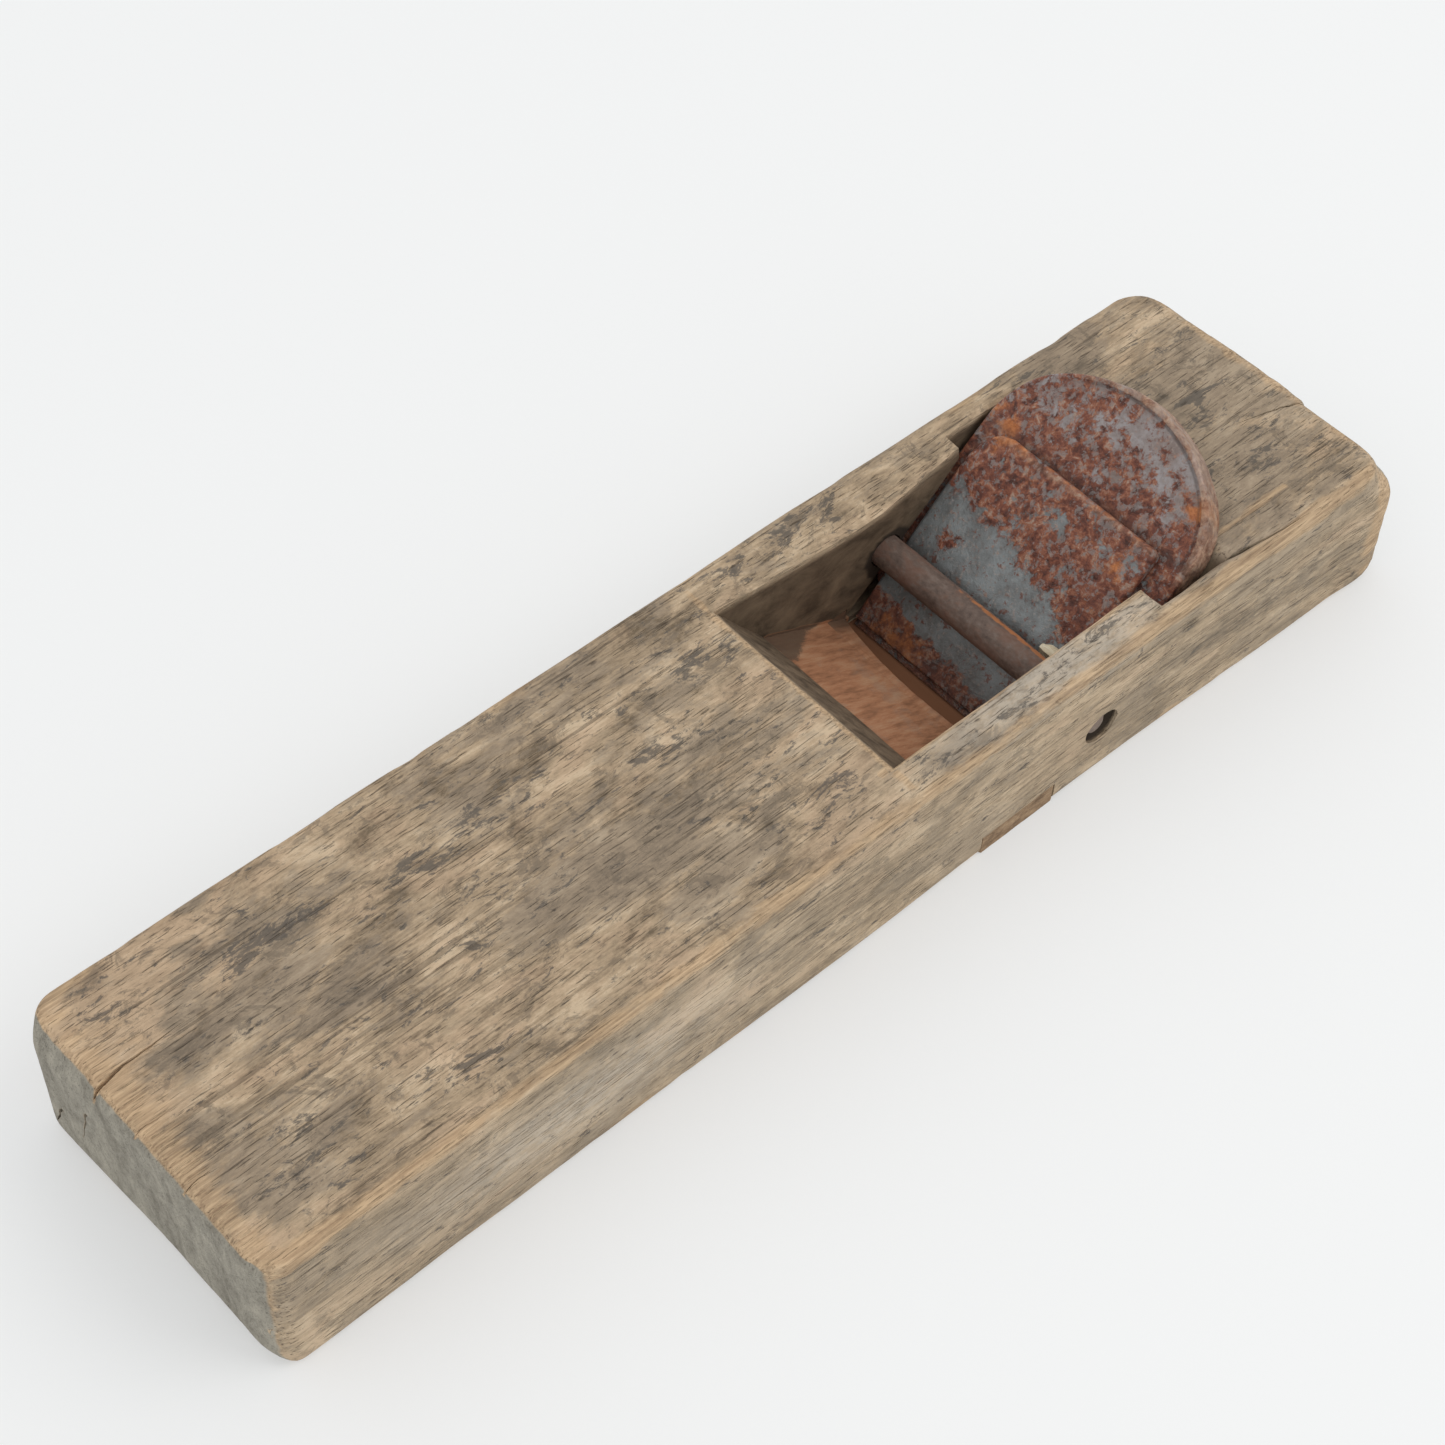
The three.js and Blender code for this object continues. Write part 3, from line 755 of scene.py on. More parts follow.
class Finish:
    """A material under construction: short calls add its nodes and join them. Patterns repeat in cells whose
    size and start are in millimetres, and are turned first."""

    def __init__(self, name, turn=(0, 0, 0)):
        self.material = bpy.data.materials.new(name)
        self.material.use_nodes = True
        self.nodes, self.links = self.material.node_tree.nodes, self.material.node_tree.links
        self.nodes.clear()
        self.turn = turn
        self.shader = self.nodes.new("ShaderNodeBsdfPrincipled")
        self.links.new(self.shader.outputs[0], self.nodes.new("ShaderNodeOutputMaterial").inputs[0])
        self.place = self.add("TexCoord", output="Object")

    def set(self, socket, value):
        if isinstance(value, Tone):
            self.links.new(value.socket, socket)
        elif isinstance(value, tuple) and socket.type == "RGBA":
            socket.default_value = value + (1,)
        else:
            socket.default_value = value

    def add(self, kind, values=(), output=0, **settings):
        """Adds a node, sets what it is and its inputs, and gives its output."""
        node = self.nodes.new("ShaderNode" + kind)
        for name, setting in settings.items():
            setattr(node, name, setting)
        pairs = values.items() if isinstance(values, dict) else enumerate(values)
        for key, value in pairs:
            self.set(node.inputs[key], value)
        return Tone(self, node.outputs[output])

    def cell(self, size, start):
        """Object coordinates counted in cells of this size."""
        return self.add("Mapping", {"Vector": self.place, "Rotation": self.turn,
                                    "Location": tuple(v * MM for v in start),
                                    "Scale": tuple(v * MM for v in size)}, vector_type="TEXTURE")

    def noise(self, size, detail=3.0, rough=0.55, bend=0.0, start=(0, 0, 0)):
        return self.add("TexNoise", {"Vector": self.cell(size, start), "Scale": 1.0, "Detail": detail,
                                     "Roughness": rough, "Distortion": bend}, "Fac")

    def dots(self, size, start):
        """Distance to the nearest of points strewn one to a cell."""
        return self.add("TexVoronoi", {"Vector": self.cell(size, start), "Scale": 1.0}, "Distance")

    def math(self, operation, *values, clamp=False):
        return self.add("Math", values, operation=operation, use_clamp=clamp)

    def rest(self, share):
        """What is left of the whole, never below 0."""
        return self.math("SUBTRACT", 1.0, share, clamp=True)

    def step(self, value, low, high, to_low=0.0, to_high=1.0):
        """Smooth step of the value from low to high."""
        return self.add("MapRange", (value, low, high, to_low, to_high), interpolation_type="SMOOTHSTEP")

    def ramp(self, value, *stops):
        tone = self.add("ValToRGB", [value])
        points = tone.socket.node.color_ramp.elements
        while len(points) < len(stops):
            points.new(0.5)
        for point, (at, colour) in zip(points, stops):
            point.position, point.color = at, tuple(colour) + (1,)
        return tone

    def mix(self, share, base, colour):
        """From the base to the colour by the share."""
        values = {"Factor": share, MIX_BASE: base, MIX_COLOUR: colour}
        return self.add("Mix", values, MIX_RESULT, data_type="RGBA")

    def tint(self, share, base, colour, part=0.5):
        """From the base by the share towards what lies that part of the way to the colour."""
        return self.mix(share, base, self.mix(part, base, colour))

    def zones(self, name="zones"):
        mask = self.add("VertexColor", output="Color", layer_name=name)
        split = self.add("SeparateColor", [mask])
        parts = (*split.socket.node.outputs, mask.socket.node.outputs["Alpha"])
        return [Tone(self, socket) for socket in parts]

    def bump(self, height, distance, strength=1.0, under=None):
        values = {"Height": height, "Distance": distance * MM, "Strength": strength}
        if under is not None:
            values["Normal"] = under
        return self.add("Bump", values)

    def finish(self, colour, rough, normal, metal=0.0, specular=0.4):
        for name, value in (("Base Color", colour), ("Roughness", rough), ("Metallic", metal),
                            ("Specular IOR Level", specular), ("Normal", normal)):
            self.set(self.shader.inputs[name], value)
        return self.material


def weathered_wood(colours):
    """Oak left in the weather: fine fibres and pores along X, black stains on top, tan where the edges wore,
    grey end grain, and darker walls and a reddish ramp inside the well."""
    f = Finish("weathered oak")
    worn, end, walls, ramp = f.zones()
    stains, smudge, ramp_shadow, pale = f.zones("marks")
    warm, dull, ruled, in_hole = f.zones("tones")
    streak = f.noise((26, 2.6, 2.6), 8, 0.68, 0.3)
    blotch = f.noise((15, 7.5, 7.5), 9, 0.70, 0.5, (3, 8, 2))
    fibre = f.noise((9, 0.5, 0.5), 3, 0.6, 0.1, (2, 0, 1))
    crumb = f.noise((1.7, 0.85, 0.85), 4, 0.7, 0.0, (5, 2, 8))
    grain = (blotch * 0.56 + streak * 0.10) + (fibre * 0.17 + crumb * 0.17)
    wood = f.ramp(grain, (0.405, (0.160, 0.118, 0.076)), (0.442, (0.262, 0.194, 0.126)),
                  (0.475, (0.340, 0.253, 0.166)), (0.505, colours.oak), (0.535, (0.468, 0.350, 0.230)),
                  (0.575, (0.575, 0.442, 0.298)))
    region = f.noise((30, 13, 13), 6, 0.66, 0.5, (7, 3, 1))
    rough_crumb = (crumb - 0.5) * 0.28
    grey_level = dull * 0.09 + region + rough_crumb
    wood = f.tint(f.step(grey_level, 0.48, 0.60, 0.0, 0.85), wood, (0.215, 0.174, 0.134), 0.6)
    warm_level = warm * 0.14 + (1.0 - region)
    wood = f.tint(f.step(warm_level, 0.52, 0.66, 0.0, 0.8), wood, (0.60, 0.42, 0.275))
    mould = f.noise((9.5, 6, 6), 9, 0.76, 0.9, (8, 6, 3)) + rough_crumb
    wood = f.tint(f.step(mould, 0.53, 0.61, 0.0, 0.7), wood, (0.135, 0.107, 0.078), 0.75)
    wood = f.tint(f.step(mould, 0.455, 0.38, 0.0, 0.3), wood, (0.62, 0.485, 0.335))

    # Paler sides, and scuffs and stains on top
    facing = f.add("SeparateXYZ", [f.add("NewGeometry", output="Normal")], "Z")
    top = f.step(facing, 0.55, 0.85)
    wood = f.tint(f.rest(top) * 0.5, wood, (0.53, 0.43, 0.305))
    scuff = pale * f.step(f.noise((4, 2, 2), 5, 0.7, start=(6, 6, 2)), 0.40, 0.56, 0.45, 1.0)
    wood = f.tint(scuff * 0.8, wood, (0.62, 0.555, 0.465), 0.6)
    cloud = f.noise((10, 3.6, 3.6), 8, 0.74, 0.8, (3, 5, 2))
    spread = (cloud * 0.75 + crumb * 0.25) + (stains * 0.125 + top * 0.01)
    wood = f.mix(f.step(spread, 0.562, 0.625, 0.0, 0.78), wood, tuple(colours.stain))
    smear = smudge * f.step(cloud, 0.35, 0.62)
    wood = f.mix(smear * 0.75, wood, (0.135, 0.115, 0.09))

    # Pores, long lines and specks
    pore = f.step(f.noise((5.5, 0.34, 0.34), 2, 0.5, start=(1, 0, 0)), 0.60, 0.72)
    wood = f.mix(pore * 0.65, wood, (0.075, 0.054, 0.036))
    long_lines = f.noise((48, 0.9, 0.9), 2, 0.5, 0.1, (4, 1, 6))
    rule_noise = f.noise((52, 1.0, 1.0), 1, 0.5, 0.05, (4, 5, 9))
    lines = f.math("ADD", f.step(long_lines, 0.60, 0.70) * f.step(streak, 0.62, 0.42),
                   f.step(rule_noise, 0.53, 0.64) * (ruled * 0.9), clamp=True)
    wood = f.mix(lines * 0.5, wood, (0.10, 0.075, 0.052))
    specks = f.step(f.dots((6.0, 2.4, 2.4), (2, 2, 2)), 0.17, 0.07)
    speck_zone = f.step(f.noise((22, 12, 12), start=(9, 4, 7)), 0.5, 0.62)
    wood = f.mix(specks * speck_zone * 0.6, wood, (0.06, 0.048, 0.038))

    # Worn edges, end grain, well and ramp
    ragged = f.noise((7, 2.6, 2.6), 6, 0.7, start=(4, 1, 3))
    along = f.noise((24, 14, 14), 3, 0.6, start=(1, 7, 3))
    tan = f.step(worn * 0.75 + (ragged * 1.2 + along * 1.1), 1.42, 1.88)
    wood = f.tint(tan, wood, f.ramp(fibre, (0.35, (0.34, 0.215, 0.12)), (0.62, colours.tan)), 0.6)
    end_grain = f.ramp(f.noise((5, 3.2, 7), 8, 0.72, 0.3), (0.34, (0.200, 0.180, 0.143)),
                       (0.5, (0.300, 0.276, 0.226)), (0.66, (0.40, 0.365, 0.297)))
    wood = f.mix(f.step(end + (ragged - 0.5) * 0.6, 0.3, 0.8), wood, end_grain)
    wall_wood = f.ramp(f.noise((9, 4, 6), 6, 0.68, 0.4), (0.32, (0.055, 0.038, 0.024)), (0.5, colours.wall),
                       (0.68, (0.215, 0.155, 0.10)))
    wood = f.mix(walls, wood, wall_wood)
    # Painted shade: nearly black in the pin hole, for the dark gap round the pin.
    wood = f.mix(in_hole * 0.85, wood, (0.022, 0.016, 0.012))
    # Painted shadow over the upper ramp, with a ragged edge.
    ramp_shadowed = f.step(ramp_shadow + (cloud - 0.5) * 2.0, 0.35, 0.75, 0.0, 0.85)
    wood = f.mix(ramp, wood, f.mix(ramp_shadowed, reddish(f, tuple(colours.ramp)), RAMP_SHADOW))
    height = grain * 1.0 + (pore + lines) * -0.3
    fine = f.bump(height * f.rest(walls), 0.75, 0.85)
    normal = f.bump(f.noise((1.2, 0.6, 0.6), 3, 0.6), 0.12, 0.6, fine)
    return f.finish(wood, f.step(grain, 0.40, 0.60, 0.92, 0.8), normal, specular=0.25)


def reddish(f, middle):
    """The dull terracotta of the ramp and of the patch where it carries the ramp on, streaked down the
    slope."""
    wood = f.ramp(f.noise((11, 1.9, 5), 6, 0.66, 0.2), (0.34, shade(middle, 0.62)), (0.5, middle),
                  (0.68, (0.45, 0.255, 0.145)))
    dusty = f.step(f.noise((10, 7, 5), 6, 0.7, start=(5, 5, 5)), 0.50, 0.64, 0.0, 0.3)
    return f.mix(dusty, wood, (0.27, 0.20, 0.15))


def plain_wood(name, dark, middle, light, size, relief=0.3, ramp=None):
    """A single straight-grained wood: streaks of three tones along the first of its cell's sizes. Where the
    piece is marked as ramp it takes that tone instead."""
    f = Finish(name)
    streak = f.noise(size, 6, 0.62, 0.2)
    fine = f.noise(tuple(v * 0.3 for v in size), 3, 0.6, start=(3, 1, 2))
    grain = streak * 0.65 + fine * 0.35
    wood = f.ramp(grain, (0.34, dark), (0.5, middle), (0.66, light))
    if ramp:
        inside, ramp_shadow, *_ = f.zones()
        # Painted shadow darkens the ramp tone where the piece is marked for it.
        wood = f.mix(inside, wood, f.mix(ramp_shadow * 0.85, reddish(f, ramp), RAMP_SHADOW))
    return f.finish(wood, 0.82, f.bump(grain, relief, 0.8), specular=0.3)


def rusted_iron(name, clean_steel, dull_steel, rust_colour, patch):
    """Steel under rust: red-brown blisters over blue-grey metal, more or less of it by zone, with grey
    islands, orange bloom, a brown rim, painted shade in gaps and creases, and small painted glints."""
    f = Finish(name, (0, -FACE_ANGLE, 0))
    rust_zone, orange_zone, shade_zone, rim_zone = f.zones()
    coarse = f.noise((patch,) * 3, 8, 0.70, 0.5)
    middle = f.noise((3.0,) * 3, 6, 0.66, 0.4, (3, 1, 2))
    fine = f.noise((1.0,) * 3, 4, 0.62, start=(1, 4, 2))
    grit = f.noise((0.45,) * 3, 3, 0.6)
    level = (coarse * 0.50 + (middle * 0.36 + fine * 0.14)) + (rust_zone - 0.5) * 0.26
    rusted, crust = f.step(level, 0.468, 0.532), f.step(level, 0.54, 0.64)
    steel = f.ramp(f.noise((7,) * 3, 6, 0.66, start=(5, 2, 1)), (0.38, dull_steel), (0.60, clean_steel))
    steel = f.mix(f.step(fine, 0.53, 0.70, 0.0, 0.6), steel, (0.34, 0.285, 0.25))
    steel = f.tint(f.step(middle, 0.46, 0.36, 0.0, 0.5), steel, (0.12, 0.075, 0.055))
    tone = f.noise((2.2,) * 3, 5, 0.66, 0.6, (7, 5, 3)) * 0.74 + fine * 0.26
    rust = f.ramp(tone, (0.39, shade(rust_colour, 0.33)), (0.46, shade(rust_colour, 0.75)),
                  (0.52, (0.228, 0.072, 0.037)), (0.57, (0.325, 0.132, 0.072)), (0.63, (0.39, 0.27, 0.205)))
    rust = f.tint(crust * 0.55, rust, (0.120, 0.034, 0.022), 0.6)
    colour = f.mix(rusted, steel, rust)
    islands = f.noise((1.7,) * 3, 5, 0.66, 0.3, (2, 9, 4))
    colour = f.mix(f.step(islands, 0.53, 0.60, 0.0, 0.7) * rusted, colour, (0.250, 0.213, 0.196))
    spots = f.step(islands, 0.45, 0.39, 0.0, 0.85) * f.step(middle, 0.46, 0.56)
    colour = f.mix(spots * (1.0 - rusted), colour, (0.165, 0.062, 0.040))
    bloom_noise = f.noise((3.2,) * 3, 5, 0.66, start=(8, 8, 8))
    bloom = f.step(orange_zone + (bloom_noise - 0.5) * 2.2, 0.18, 0.72)
    orange = f.ramp(tone, (0.4, (0.36, 0.105, 0.025)), (0.6, (0.60, 0.215, 0.06)))
    colour = f.mix(bloom * 0.85, colour, orange)
    rim = f.step(rim_zone + (middle - 0.5) * 0.9, 0.35, 0.85)
    colour = f.mix(rim * 0.7, colour, f.ramp(tone, (0.40, (0.22, 0.105, 0.06)), (0.60, (0.50, 0.34, 0.235))))
    # Painted shade in gaps, creases and down in the mouth, where the zone marks it.
    colour = f.mix(shade_zone * 0.75, colour, (0.04, 0.028, 0.022))
    # Painted glints: small pale pinkish specks for the sparkle of the rust.
    glint = f.step(f.dots((2.6,) * 3, (1, 1, 1)), 0.15, 0.05) * f.step(middle, 0.46, 0.60)
    colour = f.mix(glint * 0.35, colour, (0.50, 0.43, 0.41))
    rough = f.step(level, 0.45, 0.58, 0.42, 0.62) + (grit - 0.5) * 0.4
    broad = f.bump(f.step(level, 0.44, 0.64) * 0.7 + middle * 0.7, 0.32, 0.9)
    normal = f.bump(fine + grit * 0.5, 0.16, 0.8, broad)
    return f.finish(colour, rough, normal, f.step(level, 0.53, 0.47, 0.0, 0.35), 0.45)


def forged_pin(middle):
    """The pin's brown-grey scale, with a line of orange rust along its upper edge where dust settles."""
    f = Finish("brown iron pin")
    rust_zone, orange_zone, shade_zone, at_end = f.zones()
    scale = f.noise((4.5, 7, 4.5), 6, 0.65, 0.4)
    fine = f.noise((0.9, 1.4, 0.9), 4, 0.6, start=(2, 2, 2))
    colour = f.ramp(scale * 0.6 + fine * 0.4, (0.32, (0.07, 0.045, 0.036)), (0.5, middle),
                    (0.68, (0.24, 0.20, 0.17)))
    colour = f.mix(f.step(scale + rust_zone * 0.2, 0.55, 0.70) * 0.6, colour, (0.165, 0.078, 0.05))
    bloom = f.step(orange_zone + (fine - 0.5) * 1.2, 0.45, 0.85)
    colour = f.mix(bloom * 0.8, colour, (0.46, 0.17, 0.055))
    # Painted shade on the pin's underside.
    colour = f.mix(shade_zone * 0.7, colour, (0.03, 0.024, 0.02))
    colour = f.tint(at_end * 0.75, colour, (0.28, 0.22, 0.175))
    relief = f.bump(scale + fine * 0.5, 0.3, 0.8)
    return f.finish(colour, f.step(scale, 0.4, 0.7, 0.62, 0.85), relief, 0.15, 0.4)


# ---- What a user may change ----

def size_setting(label, text, default):
    return bpy.props.FloatProperty(name=label, description=text, default=default, min=0.0001, unit="LENGTH",
                                   subtype="DISTANCE", precision=5)


def colour_setting(label, text, default):
    return bpy.props.FloatVectorProperty(name=label, description=text, default=default, size=3, min=0, max=1,
                                         subtype="COLOR")


def number_setting(label, text, default, least=0, unit="NONE"):
    return bpy.props.FloatProperty(name=label, description=text, default=default, min=least, unit=unit)


class BlockSizes(bpy.types.PropertyGroup):
    """Sizes of the block."""
    length: size_setting("Length", "Length of the block along the grain", BLOCK_HIGH.x - BLOCK_LOW.x)
    width: size_setting("Width", "Width across the block", BLOCK_HIGH.y - BLOCK_LOW.y)
    height: size_setting("Height", "Height from the sole to the top", BLOCK_HIGH.z - BLOCK_LOW.z)
    edge_wear: size_setting("Edge wear", "Mean radius of the worn long edges", 0.0017)
    near_corner: size_setting("Near corners", "Radius of the plan corners at the toe end", 0.0055)
    far_corner: size_setting("Far corners", "Radius of the plan corners at the heel end", 0.008)


class IronSizes(bpy.types.PropertyGroup):
    """Sizes of the blade and chip breaker."""
    half_width: size_setting("Blade half width", "Half the blade's width above its ground corners",
                             BLADE_HALF * MM)
    head_rise: size_setting("Head rise", "Height of the rounded head above its shoulders", HEAD_RISE * MM)
    arris: size_setting("Arris", "Radius of the worn edges of the irons", 0.0007)


class WoodColours(bpy.types.PropertyGroup):
    """Colours of the wooden parts."""
    oak: colour_setting("Oak", "Middle tone of the weathered oak", (0.412, 0.304, 0.197))
    tan: colour_setting("Worn tan", "Tone of the oak where its edges are worn", (0.66, 0.46, 0.27))
    stain: colour_setting("Stain", "Tone of the black stains", (0.098, 0.086, 0.074))
    wall: colour_setting("Well walls", "Tone of the walls inside the well", (0.145, 0.103, 0.066))
    ramp: colour_setting("Ramp", "Tone of the ramp in the well", (0.385, 0.178, 0.092))
    patch: colour_setting("Mouth patch", "Middle tone of the hardwood patch", (0.27, 0.175, 0.10))
    splinter: colour_setting("Splinter", "Middle tone of the packing splinter", (0.60, 0.50, 0.34))


class IronColours(bpy.types.PropertyGroup):
    """Colours of the iron parts."""
    rust: colour_setting("Rust", "Middle tone of the rust", (0.186, 0.056, 0.032))
    clean: colour_setting("Clean steel", "Tone of the steel where it shows", (0.243, 0.260, 0.260))
    dull: colour_setting("Dull steel", "Tone of the darker steel", (0.150, 0.152, 0.148))
    pin: colour_setting("Pin", "Middle tone of the cross pin", (0.155, 0.108, 0.085))


class StudioSettings(bpy.types.PropertyGroup):
    """Floor, lights and camera."""
    floor: colour_setting("Floor", "Colour of the floor", (0.56, 0.56, 0.555))
    glow: number_setting("Floor glow", "Light that comes up through the floor", 0.33)
    reach: size_setting("Floor size", "Length of the floor's sides", 6.0)
    lens: number_setting("Lens", "Focal length of the camera", 70.033, 1, "CAMERA")
    key: number_setting("Key light", "Power of the large soft light", 5.5, unit="POWER")
    fill: number_setting("Fill", "Strength of the light from all round", 0.93)


# ---- Operators ----

def group(name):
    return getattr(bpy.context.scene, "hand_plane_" + name)


class HANDPLANE_OT_block(bpy.types.Operator):
    """Build the worn oak block with its well, grooves, pin hole and cracks"""
    bl_idname = "handplane.block"
    bl_label = "Block"

    def execute(self, context):
        sizes = group("block")
        block = closed_skin("worn_block", wear_block(block_rings(sizes), sizes))
        recess = box_rings((PATCH_X[0] - 0.22, -PAST_SIDE, -1),
                           (PATCH_X[1] + 0.22, PAST_SIDE, PATCH_TOP + 0.12))
        carve(block, [well_cutter(sizes), groove_cutter(sizes), pin_hole_cutter(),
                      closed_skin("recess cutter", recess), *block_cracks()])
        block_masks(block, sizes)
        hand_over(block, weathered_wood(group("wood")), "block", ["plane_block"], 34)
        return {"FINISHED"}


class HANDPLANE_OT_patch(bpy.types.Operator):
    """Build the hardwood patch let into the sole before the mouth"""
    bl_idname = "handplane.patch"
    bl_label = "Mouth patch"

    def execute(self, context):
        middle = tuple(group("wood").patch)
        patch = closed_skin("inlaid_patch", patch_rings(group("block").width / MM / 2 - 0.15))
        inside = (np.abs(mesh_points(patch)[:, 1]) < 25).astype(float)
        # The second zone is painted shadow on the ramp tone towards the far wall.
        write_masks(patch, [inside, 0.9 * fade(20, 24, mesh_points(patch)[:, 1]), 0 * inside, 0 * inside])
        material = plain_wood("red hardwood", (0.13, 0.08, 0.045), middle, (0.40, 0.275, 0.165),
                              (3.0, 14.0, 1.2), ramp=tuple(group("wood").ramp))
        hand_over(patch, material, "block", ["mouth_patch"], 30)
        return {"FINISHED"}


class HANDPLANE_OT_blade(bpy.types.Operator):
    """Build the laminated blade: its iron body and its hard steel layer"""
    bl_idname = "handplane.blade"
    bl_label = "Blade"

    def execute(self, context):
        colours = group("iron_colours")
        body = closed_skin("forged_blade", blade_rings(group("irons")))
        steel = copy_of(body, "steel_layer")

        def layer(seam):
            end, under = STEEL_END + seam, -STEEL_THICKNESS - seam
            return face_cutter([(-3, under), (end, under), (end, 4), (-3, 4)])

        carve(steel, [layer(0.0)], "INTERSECT")
        carve(body, [layer(SEAM)])
        paint = rusted_iron("rusted blade", (0.315, 0.285, 0.28), (0.215, 0.165, 0.145),
                            tuple(colours.rust), 3.4)

        def rust(u, y, h):
            return 0.52 + 0.3 * hump(51, 4, u) - 0.22 * hump(67, 5, u) * fade(8, -8, y) \
                + 0.08 * fade(-5, 10, y)

        def orange(u, y, h):
            return 0.75 * hump(61, 3.2, u) * hump(-22.5, 3.0, y) \
                + 0.8 * hump(51.5, 2.2, u) * hump(22, 3, y) + 0.35 * hump(60, 9, u) * hump(27, 2.2, y)

        def rim(u, y, h):
            burr = 0.75 * fade(0.935, 0.955, head_reach(u, y)) * fade(24, 6, y) * fade(40, 52, u)
            return np.maximum(fade(-0.25, -1.4, h) * fade(30, 40, u), burr)

        # Painted shade: a shadow line just above the chip breaker's top edge, a dark line in the gap beside
        # the breaker's far edge, and a dark line inside the head's hammered burr.
        def painted_shade(u, y, h):
            return 0.5 * hump(50.3, 1.1, u) + 0.5 * hump(24.9, 0.7, y) * fade(50, 48, u) \
                + 0.7 * hump(0.925, 0.010, head_reach(u, y)) * fade(22, 6, y) * fade(46, 54, u) * (h > -1)

        # Painted shade also darkens the steel towards the cutting edge, down in the mouth.
        def edge_shade(u, y, h):
            return 0.6 * fade(6, 1, u) + painted_shade(u, y, h)

        iron_masks(body, rust, orange, painted_shade, rim)
        hand_over(body, paint, "blade", ["blade_iron"], 32)
        iron_masks(steel, lambda u, y, h: 0.75 + 0 * u, orange, edge_shade, rim)
        layer_paint = rusted_iron("rusted steel layer", tuple(colours.clean), tuple(colours.dull),
                                  tuple(colours.rust), 4.0)
        hand_over(steel, layer_paint, "blade", ["blade_steel"], 32)
        return {"FINISHED"}


class HANDPLANE_OT_breaker(bpy.types.Operator):
    """Build the chip breaker: its plate with bent corners and its steel tip"""
    bl_idname = "handplane.breaker"
    bl_label = "Chip breaker"

    def execute(self, context):
        colours = group("iron_colours")
        plate = closed_skin("breaker_plate", breaker_rings(group("irons")))
        tip = copy_of(plate, "breaker_tip")

        def scarf(seam):
            edge = BREAKER_STEEL_END + seam
            return face_cutter([(-3, -2), (edge + 2, -2), (edge - 2, 7), (-3, 7)])

        carve(tip, [scarf(0.0)], "INTERSECT")
        carve(plate, [scarf(SEAM)])
        paint = rusted_iron("rusted breaker", tuple(colours.clean), tuple(colours.dull),
                            tuple(colours.rust), 6.0)

        def rust(u, y, h):
            bare = np.interp(y, [-20, -10, 0, 12, 24], [21, 25, 28.5, 31, 32.5])
            return 0.04 + 0.70 * fade(bare - 1, bare + 7, u) + 0.85 * fade(9, 5, u - 0.13 * y) \
                + 0.3 * fade(-9, -17, y) * fade(52, 20, u) + 0.6 * hump(26, 2.6, u) * hump(17, 4.0, y) \
                - 0.36 * hump(43, 3.0, u) * hump(3, 6, y) - 0.34 * hump(44, 3.5, u) * hump(-16, 4, y)

        def orange(u, y, h):
            return 0.85 * hump(49.5, 2.2, u) * hump(20.5, 4.0, y) + 0.25 * hump(50, 1.0, u) \
                + 0.55 * hump(43, 3, u) * hump(-16, 3, y) + 0.6 * hump(4, 3.5, u) * hump(13, 8, y)

        # Painted shade: a dark line along the pin's upper edge where it lies on the breaker, and darker over
        # the breaker's lower end deep in the well.
        def painted_shade(u, y, h):
            return 0.55 * hump(20.5, 1.4, u) + 0.5 * fade(15, 3, u)

        def rim(u, y, h):
            return 0.55 * hump(49.2, 1.6, u) * fade(0.6, 1.4, h)

        for piece, node, slot in ((plate, "chip_breaker_iron", "rusted_iron"),
                                  (tip, "chip_breaker_steel", "grey_steel")):
            iron_masks(piece, rust, orange, painted_shade, rim)
            hand_over(piece, paint, "chip_breaker", [node], 32)
        return {"FINISHED"}


class HANDPLANE_OT_pin(bpy.types.Operator):
    """Build the forged cross pin"""
    bl_idname = "handplane.pin"
    bl_label = "Cross pin"

    def execute(self, context):
        pin = closed_skin("forged_pin", pin_rings())
        x, y, z = mesh_points(pin).T
        angle = np.degrees(np.arctan2(z - PIN_CENTRE[1], x - PIN_CENTRE[0]))
        inside = np.abs(y) < 25
        line = hump(62, 16, angle) * inside
        # Painted shade: the pin's underside is marked to come out darker.
        below = hump(-110, 50, angle) * inside
        at_end = fade(-31.5, -33.2, y)
        write_masks(pin, [0.5 + 0 * line, line * (0.35 + 0.6 * fade(14, -6, y)), 0.45 * below, at_end])
        hand_over(pin, forged_pin(tuple(group("iron_colours").pin)), "block", ["cross_pin"], 50)
        return {"FINISHED"}


class HANDPLANE_OT_splinter(bpy.types.Operator):
    """Build the packing splinter driven in beside the pin"""
    bl_idname = "handplane.splinter"
    bl_label = "Packing splinter"

    def execute(self, context):
        splinter = closed_skin("packing_split", splinter_rings())
        middle = tuple(group("wood").splinter)
        material = plain_wood("pale split wood", (0.40, 0.31, 0.19), middle, (0.76, 0.68, 0.52),
                              (0.8, 6.0, 0.8), 0.15)
        hand_over(splinter, material, "chip_breaker", ["packing_splinter"], 30)
        return {"FINISHED"}


